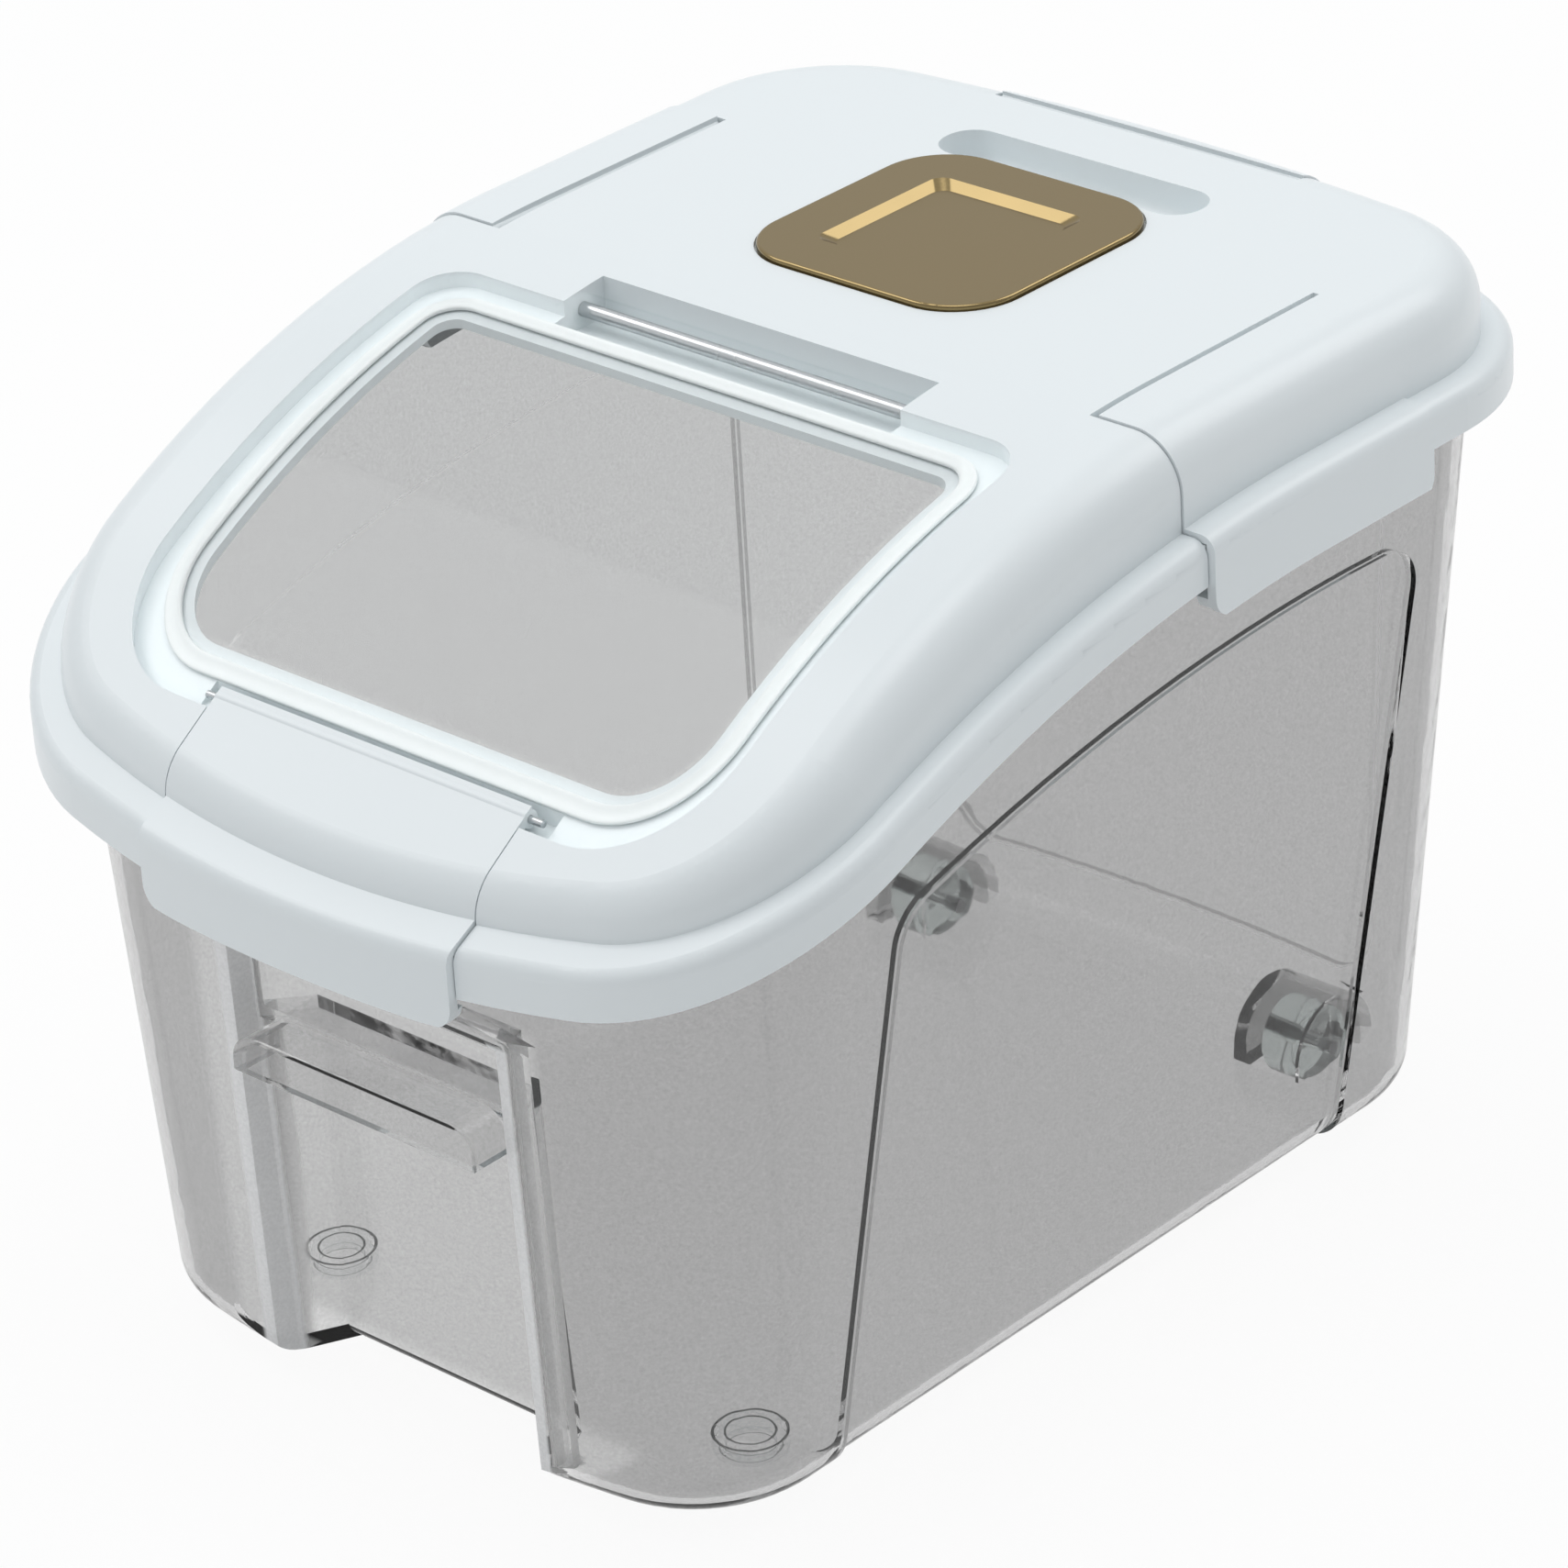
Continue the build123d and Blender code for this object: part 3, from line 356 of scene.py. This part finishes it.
def clear_moulding(name, colour, roughness, bending, alpha=1.0):
    """Clear moulded plastic or rubber with a thin gloss; alpha is the share that bends or tints light."""
    material, tree, shader = new_material(
        name,
        {
            "Base Color": rgba(colour),
            "IOR": bending,
            "Roughness": roughness,
            "Transmission Weight": 1.0,
            "Coat Weight": 0.3,
            "Coat Roughness": 0.03,
            "Coat IOR": 1.5,
            "Alpha": alpha,
        },
    )
    return material, tree, shader


def tinted_polycarbonate(settings):
    """Moulded polycarbonate: a clear wheel whose thick hub and rim look darker than the tub's walls."""
    return clear_moulding("tinted_polycarbonate", settings.wheel_colour, roughness=0.1, bending=1.3)[0]


def clear_window(settings):
    """Polished clear SAN: no haze, a grey tint within the seal as painted shade of the bin's inside, and none
    over the seal, which lets more light reach it.
    """
    material, tree, shader = clear_moulding(
        "clear_window_san", settings.colour, roughness=settings.roughness, bending=1.0, alpha=0.35
    )
    axes = place_axes(tree)
    half = (seal_high - seal_low) / 2
    front, rear = settings.seal_front_corner, settings.seal_rear_corner
    pane = formula(
        tree,
        {"x": axes["X"], "real_y": axes["Y"]},
        (
            ("y", "SUBTRACT", "real_y", (seal_high.y + seal_low.y) / 2),
            ("at_front", "LESS_THAN", "y", 0.0),
            ("radius", "MULTIPLY_ADD", "at_front", front - rear, rear),
            ("across", "ABSOLUTE", "x"),
            ("along", "ABSOLUTE", "y"),
            ("across_in", "ADD", "across", "radius"),
            ("along_in", "ADD", "along", "radius"),
            ("past_side", "SUBTRACT", "across_in", half.x),
            ("past_end", "SUBTRACT", "along_in", half.y),
            ("side_only", "MAXIMUM", "past_side", 0.0),
            ("end_only", "MAXIMUM", "past_end", 0.0),
            ("end_square", "MULTIPLY", "end_only", "end_only"),
            ("square", "MULTIPLY_ADD", "side_only", "side_only", "end_square"),
            ("corner", "SQRT", "square"),
            ("depth", "SUBTRACT", "radius", "corner"),
        ),
    )
    # Painted shade: within the seal the pane turns grey, darkening the view into the bin.
    share = fade(tree, pane["depth"], PANE_START, PANE_FULL)
    tone = blend(tree, share, rgba(settings.colour), rgba(settings.painted_pane_shade))
    tree.links.new(tone, shader.inputs["Base Color"])
    return material


def clear_rubber(settings):
    """Clear polyurethane bumper: almost unseen but for its rim and the edge of its hollow."""
    material, tree, shader = clear_moulding(
        "clear_polyurethane", settings.foot_colour, roughness=0.03, bending=1.15
    )
    axes = place_axes(tree)
    ring = formula(
        tree,
        {"x": axes["X"], "y": axes["Y"]},
        (
            ("side", "ABSOLUTE", "x"),
            ("across", "SUBTRACT", "side", FOOT_SIDE),
            ("along", "ADD", "y", FOOT_FRONT),
            ("across_square", "MULTIPLY", "across", "across"),
            ("square", "MULTIPLY_ADD", "along", "along", "across_square"),
            ("radius", "SQRT", "square"),
            ("rim", "COMPARE", "radius", FOOT_RIM, RING_HALF),
            ("hollow", "COMPARE", "radius", FOOT_HOLLOW, HOLLOW_HALF),
            ("either", "MAXIMUM", "rim", "hollow"),
            ("alpha", "MULTIPLY_ADD", "either", RING_STRENGTH, RUBBER_TRACE),
        ),
    )
    tree.links.new(ring["alpha"], shader.inputs["Alpha"])
    return material


def white_silicone(settings):
    """Silicone rubber: soft, dull white."""
    material, tree, shader = new_material(
        "white_silicone", {"Base Color": rgba(settings.seal_colour), "IOR": 1.43, "Roughness": 0.5}
    )
    ripple(tree, shader, width=1.5 * MM, height=0.01 * MM)
    return material


def gold_plating(settings):
    """Vacuum-plated gold on plastic: satin metal with a fine even grain."""
    material, tree, shader = new_material(
        "gold_plated_abs", {"Base Color": rgba(settings.cover_colour), "Metallic": 1.0}
    )
    ripple(tree, shader, width=0.8 * MM, height=0.004 * MM)
    low, high = (settings.cover_roughness + drift for drift in PLATING_DRIFT)
    sheen = patches(tree, 20 * MM, low, high)
    tree.links.new(sheen, shader.inputs["Roughness"])
    return material


def drawn_steel():
    """Drawn stainless wire: bright, with a gloss that drifts along it."""
    material, tree, shader = new_material(
        "drawn_steel_wire", {"Base Color": rgba(linear("#C4C6C8")), "Metallic": 1.0}
    )
    tree.links.new(patches(tree, 15 * MM, *STEEL_ROUGHNESS), shader.inputs["Roughness"])
    return material


def natural_polypropylene(settings):
    """Moulded polypropylene: waxy, slightly see-through white."""
    material, tree, shader = new_material(
        "natural_polypropylene",
        {
            "Base Color": rgba(settings.case_colour),
            "IOR": 1.49,
            "Roughness": 0.4,
            "Subsurface Weight": 0.3,
            "Subsurface Radius": (1.2 * MM, 1.2 * MM, 1.1 * MM),
            "Subsurface Scale": 1.0,
        },
    )
    ripple(tree, shader, width=2 * MM, height=0.004 * MM)
    return material


def filter_paper(settings):
    """Non-woven filter paper: dull off-white with short fibres that catch the light."""
    material, tree, shader = new_material("filter_paper", {"IOR": 1.5, "Roughness": 0.85})
    ripple(tree, shader, width=0.5 * MM, height=0.03 * MM)
    fibres = patches(tree, 0.7 * MM, 0.9, 1.0)
    tone = blend(tree, 1.0, rgba(settings.paper_colour), fibres, "MULTIPLY")
    tree.links.new(tone, shader.inputs["Base Color"])
    return material


def finish_node(name, material):
    """Gives a CAD node its material."""
    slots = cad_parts[name].data.materials
    slots.clear()
    slots.append(material)


def show_piece(name, mesh, body):
    """Object for a finished mesh that rides on a body and takes its finish from a slot."""
    piece = bpy.data.objects.new(name, mesh)
    bpy.context.scene.collection.objects.link(piece)
    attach(piece, body)
    return piece


# ---- window seal ---------------------------------------------------------------------------
SEAL_INPUTS = (
    "Length", "Depth", "Middle", "Front corner", "Rear corner", "Width", "Thickness",
    "Arc level", "Arc radius", "Arc start", "Arc end", "Nose slope",
)
SEAL_POINT_GAP = 1.5 * MM
SEAL_WAIST = 0.46  # thickness between the lips, as a share of the lips' own
SEAL_LIP_GROWTH = 1.84  # how much that share grows, by the square of the way out from the middle


def seal_tree():
    """Geometry Nodes: a two-lipped seal laid flat round the window, then bent over the lid's curve."""
    tree = bpy.data.node_groups.new("window_seal", "GeometryNodeTree")
    for name in SEAL_INPUTS:
        tree.interface.new_socket(name, in_out="INPUT", socket_type="NodeSocketFloat")
    tree.interface.new_socket("Material", in_out="INPUT", socket_type="NodeSocketMaterial")
    tree.interface.new_socket("Seal", in_out="OUTPUT", socket_type="NodeSocketGeometry")
    sizes = {socket.name: socket for socket in add_node(tree, "NodeGroupInput").outputs}
    place = add_node(tree, "GeometryNodeInputPosition").outputs["Position"]
    axes = add_node(tree, "ShaderNodeSeparateXYZ", links={"Vector": place}).outputs
    known = {**sizes, "x": axes["X"], "y": axes["Y"], "z": axes["Z"]}

    ring = add_node(
        tree,
        "GeometryNodeCurvePrimitiveQuadrilateral",
        links={"Width": sizes["Length"], "Height": sizes["Depth"]},
    )
    corner = formula(
        tree,
        known,
        (
            ("at_front", "LESS_THAN", "y", 0.0),
            ("difference", "SUBTRACT", "Front corner", "Rear corner"),
            ("radius", "MULTIPLY_ADD", "at_front", "difference", "Rear corner"),
        ),
    )
    rounded = add_node(
        tree,
        "GeometryNodeFilletCurve",
        {"mode": "POLY"},
        {"Count": 12},
        {"Curve": ring.outputs["Curve"], "Radius": corner["radius"]},
    )
    path = add_node(
        tree,
        "GeometryNodeResampleCurve",
        {"mode": "LENGTH"},
        {"Length": SEAL_POINT_GAP},
        {"Curve": rounded.outputs["Curve"]},
    )
    upright = add_node(
        tree, "GeometryNodeSetCurveNormal", {"mode": "Z_UP"}, links={"Curve": path.outputs["Curve"]}
    )

    lips = formula(
        tree,
        known,
        (
            ("square", "MULTIPLY", "x", "x"),
            ("swell", "MULTIPLY_ADD", "square", SEAL_LIP_GROWTH, SEAL_WAIST),
            ("half_width", "MULTIPLY", "Width", 0.5),
            ("half_thickness", "MULTIPLY", "Thickness", 0.5),
            ("across", "MULTIPLY", "x", "half_width"),
            ("rise", "MULTIPLY", "y", "swell"),
            ("up", "MULTIPLY", "rise", "half_thickness"),
        ),
    )
    section_place = add_node(tree, "ShaderNodeCombineXYZ", links={"X": lips["across"], "Y": lips["up"]})
    circle = add_node(tree, "GeometryNodeCurvePrimitiveCircle", values={"Resolution": 28, "Radius": 1.0})
    section = add_node(
        tree,
        "GeometryNodeSetPosition",
        links={"Geometry": circle.outputs["Curve"], "Position": section_place.outputs["Vector"]},
    )
    flat = add_node(
        tree,
        "GeometryNodeCurveToMesh",
        links={"Curve": upright.outputs["Curve"], "Profile Curve": section.outputs["Geometry"]},
    )

    bend = formula(
        tree,
        known,
        (
            ("real_y", "ADD", "y", "Middle"),
            ("ahead", "SUBTRACT", "Arc start", "real_y"),
            ("whole_arc", "SUBTRACT", "Arc start", "Arc end"),
            ("ahead_only", "MAXIMUM", "ahead", 0.0),
            ("bent", "MINIMUM", "ahead_only", "whole_arc"),
            ("beyond", "SUBTRACT", "Arc end", "real_y"),
            ("straight", "MAXIMUM", "beyond", 0.0),
            ("radius_square", "MULTIPLY", "Arc radius", "Arc radius"),
            ("bent_square", "MULTIPLY", "bent", "bent"),
            ("height_square", "SUBTRACT", "radius_square", "bent_square"),
            ("height", "SQRT", "height_square"),
            ("drop", "MULTIPLY", "Nose slope", "straight"),
            ("centre", "SUBTRACT", "Arc level", "Arc radius"),
            ("on_arc", "ADD", "centre", "height"),
            ("surface_z", "SUBTRACT", "on_arc", "drop"),
            ("lean", "DIVIDE", "bent", "Arc radius"),
            ("steady", "DIVIDE", "height", "Arc radius"),
            ("back", "MULTIPLY", "z", "lean"),
            ("lift", "MULTIPLY", "z", "steady"),
            ("new_y", "SUBTRACT", "real_y", "back"),
            ("new_z", "ADD", "surface_z", "lift"),
        ),
    )
    bent_place = add_node(
        tree, "ShaderNodeCombineXYZ", links={"X": bend["x"], "Y": bend["new_y"], "Z": bend["new_z"]}
    )
    bent = add_node(
        tree,
        "GeometryNodeSetPosition",
        links={"Geometry": flat.outputs["Mesh"], "Position": bent_place.outputs["Vector"]},
    )
    real = add_node(tree, "GeometryNodeRealizeInstances", links={"Geometry": bent.outputs["Geometry"]})
    painted = add_node(
        tree,
        "GeometryNodeSetMaterial",
        links={"Geometry": real.outputs["Geometry"], "Material": sizes["Material"]},
    )
    add_node(tree, "NodeGroupOutput", links={"Seal": painted.outputs["Geometry"]})
    return tree


def plain_mesh(tree, name, values):
    """Runs a Geometry Nodes tree on an empty object and returns its result as a plain mesh."""
    maker = bpy.data.objects.new(name + "_maker", bpy.data.meshes.new(name + "_maker"))
    bpy.context.scene.collection.objects.link(maker)
    modifier = maker.modifiers.new(name, "NODES")
    modifier.node_group = tree
    for socket in tree.interface.items_tree:
        if socket.in_out == "INPUT":
            modifier[socket.identifier] = values[socket.name]
    graph = bpy.context.evaluated_depsgraph_get()
    mesh = bpy.data.meshes.new_from_object(maker.evaluated_get(graph), depsgraph=graph)
    maker.modifiers.remove(modifier)
    bpy.data.objects.remove(maker)
    mesh.name = name
    turn_outwards(mesh)
    return mesh


def turn_outwards(mesh):
    """Joins doubled points, turns every face outwards and smooths the shading."""
    shape = bmesh.new()
    shape.from_mesh(mesh)
    bmesh.ops.remove_doubles(shape, verts=shape.verts, dist=0.001 * MM)
    bmesh.ops.recalc_face_normals(shape, faces=shape.faces)
    if shape.calc_volume(signed=True) < 0:
        bmesh.ops.reverse_faces(shape, faces=shape.faces)
    for face in shape.faces:
        face.smooth = True
    shape.to_mesh(mesh)
    shape.free()


# ---- sachet --------------------------------------------------------------------------------
SACHET_STEPS = 64
HEM_HALF = 0.2 * MM  # half the thickness of the pressed edge
CROWN_PLAY = 0.35 * MM  # room left above the crown for its folds
FOLD_HEIGHT = 0.16 * MM
FOLD_WAVES = 17  # radians of a side's folds from its middle to a corner
FILLING_GRAIN = 0.03  # share of the height that the filling leaves uneven
FULLNESS = 0.42  # below one, for a crown that is steep at the hem and broad on top
UNDERSIDE = 0.92  # height of the lower skin, as a share of the upper one's


def sachet_point(across, along, side, settings):
    """Point of the sachet's upper or lower skin, from two places between -1 and 1."""
    half = (sachet_high.x - sachet_low.x) / 2
    middle = (sachet_high + sachet_low) / 2
    crown = (sachet_high.z - sachet_low.z) / 2 - CROWN_PLAY
    x = across * (half - settings.pull_in * (1 - along**2))
    y = along * (half - settings.pull_in * (1 - across**2))
    inner = half - settings.hem
    fill_x = max(0.0, 1 - (across * half / inner) ** 2)
    fill_y = max(0.0, 1 - (along * half / inner) ** 2)
    rise = (fill_x * fill_y) ** FULLNESS * (1 if side > 0 else UNDERSIDE)
    side_folds = math.cos(FOLD_WAVES * across) * (1 - fill_y) ** 3
    end_folds = math.cos(FOLD_WAVES * along) * (1 - fill_x) ** 3
    grains = math.sin(23 * across + 9 * along) * math.sin(19 * along - 7 * across)
    height = HEM_HALF + crown * rise * (1 - FILLING_GRAIN + FILLING_GRAIN * grains)
    wave = FOLD_HEIGHT * (side_folds + end_folds)
    return (middle.x + x, middle.y + y, middle.z + side * height + wave)


def sachet_mesh(settings):
    """Closed pillow with a pressed hem, sides that pull in and small folds along its edges."""
    shape = bmesh.new()
    places = [2 * step / SACHET_STEPS - 1 for step in range(SACHET_STEPS + 1)]
    skins = []
    for side in (1, -1):
        rows = [[shape.verts.new(sachet_point(x, y, side, settings)) for x in places] for y in places]
        skins.append(rows)
        for low, high in zip(rows, rows[1:]):
            for first, second, third, fourth in zip(low, low[1:], high[1:], high):
                shape.faces.new((first, second, third, fourth))
    rims = []
    for rows in skins:
        left = [row[0] for row in reversed(rows[1:-1])]
        right = [row[-1] for row in rows[1:-1]]
        rims.append([*rows[0], *right, *reversed(rows[-1]), *left])
    upper, lower = rims
    for index in range(len(upper)):
        shape.faces.new((upper[index - 1], upper[index], lower[index], lower[index - 1]))
    mesh = bpy.data.meshes.new("absorber_pillow")
    shape.to_mesh(mesh)
    shape.free()
    turn_outwards(mesh)
    return mesh


# ---- operators -----------------------------------------------------------------------------
class RICEBIN_OT_lid(bpy.types.Operator):
    """Finish the lid frame, its latches and every pin and axle"""

    bl_idname = "ricebin.lid"
    bl_label = "Lid and Latches"

    def execute(self, context):
        white = moulded_white(context.scene.rice_bin_lid)
        for name in ("lid_frame", "front_latch", "left_latch", "right_latch", "rear_latch"):
            finish_node(name, white)
        steel = drawn_steel()
        latch_pins = ("front_latch_pin", "left_latch_pin", "right_latch_pin", "rear_latch_pin")
        for name in (*latch_pins, "flip_window_hinge_pin", "left_axle", "right_axle"):
            finish_node(name, steel)
        return {"FINISHED"}


class RICEBIN_OT_tub(bpy.types.Operator):
    """Finish the tub, its feet and its wheels"""

    bl_idname = "ricebin.tub"
    bl_label = "Tub"

    def execute(self, context):
        settings = context.scene.rice_bin_tub
        finish_node("tub", smoked_clear(settings))
        wheel = tinted_polycarbonate(settings)
        foot = clear_rubber(settings)
        for side in ("left", "right"):
            finish_node(side + "_wheel", wheel)
            finish_node(side + "_foot", foot)
        return {"FINISHED"}


class RICEBIN_OT_window(bpy.types.Operator):
    """Finish the flip window and make its two-lipped seal"""

    bl_idname = "ricebin.window"
    bl_label = "Flip Window"

    def execute(self, context):
        settings = context.scene.rice_bin_window
        finish_node("flip_window", clear_window(settings))
        silicone = white_silicone(settings)
        finish_node("lid_gasket", silicone)
        mesh = plain_mesh(seal_tree(), "window_seal", self.sizes(settings, silicone))
        seal = show_piece("window_seal", mesh, "window")
        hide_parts("flip_window_gasket")
        return {"FINISHED"}

    def sizes(self, settings, silicone):
        """Inputs of the seal's tree: its ring from the CAD seal, its bend from the lid's top."""
        reach = LID_ARC_START - LID_ARC_END
        inner = LID_ARC_RADIUS - SEAL_SINK
        return {
            "Length": seal_high.x - seal_low.x - SEAL_RING_WIDTH,
            "Depth": seal_high.y - seal_low.y - SEAL_RING_WIDTH,
            "Middle": (seal_high.y + seal_low.y) / 2,
            "Front corner": settings.seal_front_corner,
            "Rear corner": settings.seal_rear_corner,
            "Width": settings.seal_width,
            "Thickness": settings.seal_thickness,
            "Arc level": LID_TOP_LEVEL - SEAL_SINK,
            "Arc radius": inner,
            "Arc start": LID_ARC_START,
            "Arc end": LID_ARC_START - reach * inner / LID_ARC_RADIUS,
            "Nose slope": reach / math.sqrt(LID_ARC_RADIUS**2 - reach**2),
            "Material": silicone,
        }


class RICEBIN_OT_compartment(bpy.types.Operator):
    """Finish the gold cover and the absorber's case, and make the padded sachet"""

    bl_idname = "ricebin.compartment"
    bl_label = "Moisture Compartment"

    def execute(self, context):
        settings = context.scene.rice_bin_compartment
        finish_node("compartment_cover", gold_plating(settings))
        finish_node("absorber_box", natural_polypropylene(settings))
        mesh = sachet_mesh(settings)
        mesh.materials.append(filter_paper(settings))
        sachet = show_piece("absorber_pillow", mesh, "lid")
        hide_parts("absorber_sachet")
        return {"FINISHED"}


class RICEBIN_OT_stage(bpy.types.Operator):
    """Set up the floor, sky, lamps and camera"""

    bl_idname = "ricebin.stage"
    bl_label = "Stage"

    def execute(self, context):
        settings = context.scene.rice_bin_stage
        make_floor()
        make_sky(context.scene, settings)
        for name, place in LAMPS:
            make_lamp(name, place, settings.lamp)
        make_camera(context.scene, settings)
        context.scene.view_settings.view_transform = "Standard"
        return {"FINISHED"}


# ---- stage ---------------------------------------------------------------------------------
FLOOR_HALF = 4.0
FLOOR_LEVEL = -0.0003
FLOOR_GLOW = 0.93  # share of plain white, so that the rest still shows the bin's shadow
SKY_TOWARDS = (-0.48, 0.25, 0.84)  # where the sky is brightest
SKY_SPAN = (-0.5, 1.0)  # from its darkest to its brightest, as the cosine of the angle to there
LAMP_SIZE = 1.2
LAMP_AIM = (0.0, 0.0, 0.12)
LAMPS = (
    ("overhead_lamp", (-0.1, 0.0, 2.3)),
    ("left_lamp", (-1.34, -0.42, 1.8)),
    ("rear_lamp", (0.44, 1.4, 1.75)),
)


def make_floor():
    """Matt paper that holds the shadow, and shows as white to the camera, gloss and clear walls."""
    mesh = bpy.data.meshes.new("floor")
    turns = ((-1, -1), (1, -1), (1, 1), (-1, 1))
    corners = [(x * FLOOR_HALF, y * FLOOR_HALF, FLOOR_LEVEL) for x, y in turns]
    mesh.from_pydata(corners, [], [(0, 1, 2, 3)])
    floor = bpy.data.objects.new("floor", mesh)
    bpy.context.scene.collection.objects.link(floor)
    material = bpy.data.materials.new("studio_paper")
    material.use_nodes = True
    tree = material.node_tree
    tree.nodes.clear()
    path = add_node(tree, "ShaderNodeLightPath").outputs
    seen = formula(
        tree,
        {name: path[name] for name in ("Is Camera Ray", "Is Glossy Ray", "Is Transmission Ray")},
        (
            ("gloss", "MAXIMUM", "Is Camera Ray", "Is Glossy Ray"),
            ("clear", "MAXIMUM", "gloss", "Is Transmission Ray"),
            ("share", "MULTIPLY", "clear", FLOOR_GLOW),
        ),
    )
    paper = add_node(tree, "ShaderNodeBsdfDiffuse", values={"Color": rgba(linear("#F4F4F4"))})
    glow = add_node(tree, "ShaderNodeEmission", values={"Color": rgba(linear("#FFFFFF")), "Strength": 1.0})
    mix = add_node(
        tree,
        "ShaderNodeMixShader",
        links={0: seen["share"], 1: paper.outputs[0], 2: glow.outputs[0]},
    )
    add_node(tree, "ShaderNodeOutputMaterial", links={"Surface": mix.outputs[0]})
    mesh.materials.append(material)


def make_sky(scene, settings):
    """Sky that is brighter above and to the left, and white to the camera and through clear walls."""
    world = bpy.data.worlds.new("studio_sky")
    world.use_nodes = True
    tree = world.node_tree
    tree.nodes.clear()
    direction = add_node(tree, "ShaderNodeTexCoord")
    toward = add_node(
        tree,
        "ShaderNodeVectorMath",
        {"operation": "DOT_PRODUCT"},
        {1: SKY_TOWARDS},
        {0: direction.outputs["Generated"]},
    )
    sky = (settings.sky_low, settings.sky_high)
    strength = fade(tree, toward.outputs["Value"], *SKY_SPAN, *sky, "LINEAR")
    light = add_node(
        tree,
        "ShaderNodeBackground",
        values={"Color": rgba(linear("#FBFDFF"))},
        links={"Strength": strength},
    )
    white = add_node(tree, "ShaderNodeBackground", values={"Color": rgba(linear("#FFFFFF")), "Strength": 1.0})
    path = add_node(tree, "ShaderNodeLightPath").outputs
    seen = add_node(
        tree,
        "ShaderNodeMath",
        {"operation": "MAXIMUM"},
        links={0: path["Is Camera Ray"], 1: path["Is Transmission Ray"]},
    )
    mix = add_node(
        tree,
        "ShaderNodeMixShader",
        links={0: seen.outputs[0], 1: light.outputs[0], 2: white.outputs[0]},
    )
    add_node(tree, "ShaderNodeOutputWorld", links={"Surface": mix.outputs[0]})
    scene.world = world


def make_lamp(name, place, power):
    """Wide round lamp that faces the bin."""
    data = bpy.data.lights.new(name, "AREA")
    data.shape = "DISK"
    data.size = LAMP_SIZE
    data.energy = power
    lamp = bpy.data.objects.new(name, data)
    lamp.location = place
    aim = Vector(LAMP_AIM) - Vector(place)
    lamp.rotation_euler = aim.to_track_quat("-Z", "Y").to_euler()
    bpy.context.scene.collection.objects.link(lamp)


def make_camera(scene, settings):
    """Camera at the photograph's angle, distance and tilt."""
    data = bpy.data.cameras.new("camera")
    data.sensor_width = 36.0
    data.sensor_height = 36.0
    data.lens = settings.lens
    data.clip_end = 50.0
    camera = bpy.data.objects.new("camera", data)
    azimuth, elevation, roll = settings.azimuth, settings.elevation, settings.roll
    back = Vector((
        math.sin(azimuth) * math.cos(elevation), -math.cos(azimuth) * math.cos(elevation), math.sin(elevation)
    ))
    level_right = Vector((math.cos(azimuth), math.sin(azimuth), 0))
    level_up = back.cross(level_right)
    right = level_right * math.cos(roll) + level_up * math.sin(roll)
    up = level_up * math.cos(roll) - level_right * math.sin(roll)
    place = Vector((0, 0, settings.target_height)) + back * settings.distance
    turn = Matrix((right, up, back)).transposed().to_4x4()
    camera.matrix_world = Matrix.Translation(place) @ turn
    scene.collection.objects.link(camera)
    scene.camera = camera


class RICEBIN_PT_panel(bpy.types.Panel):
    """Lists the rice bin's pieces"""

    bl_idname = "RICEBIN_PT_panel"
    bl_label = "Rice Bin"
    bl_space_type = "VIEW_3D"
    bl_region_type = "UI"
    bl_category = "Rice Bin"

    def draw(self, context):
        layout = self.layout
        for operator in OPERATORS:
            layout.operator(operator.bl_idname)


OPERATORS = (RICEBIN_OT_stage, RICEBIN_OT_lid, RICEBIN_OT_tub, RICEBIN_OT_window, RICEBIN_OT_compartment)
SETTINGS = {
    "rice_bin_lid": LidSettings,
    "rice_bin_tub": TubSettings,
    "rice_bin_window": WindowSettings,
    "rice_bin_compartment": CompartmentSettings,
    "rice_bin_stage": StageSettings,
}


def register():
    for kind in (*SETTINGS.values(), *OPERATORS, RICEBIN_PT_panel):
        bpy.utils.register_class(kind)
    for name, kind in SETTINGS.items():
        setattr(bpy.types.Scene, name, bpy.props.PointerProperty(type=kind))


def unregister():
    for name in SETTINGS:
        delattr(bpy.types.Scene, name)
    for kind in (RICEBIN_PT_panel, *reversed(OPERATORS), *reversed(tuple(SETTINGS.values()))):
        bpy.utils.unregister_class(kind)


def main():
    """Registers the add-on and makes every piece."""
    register()
    for operator in OPERATORS:
        group, name = operator.bl_idname.split(".")
        getattr(getattr(bpy.ops, group), name)()


if __name__ == "__main__":
    main()
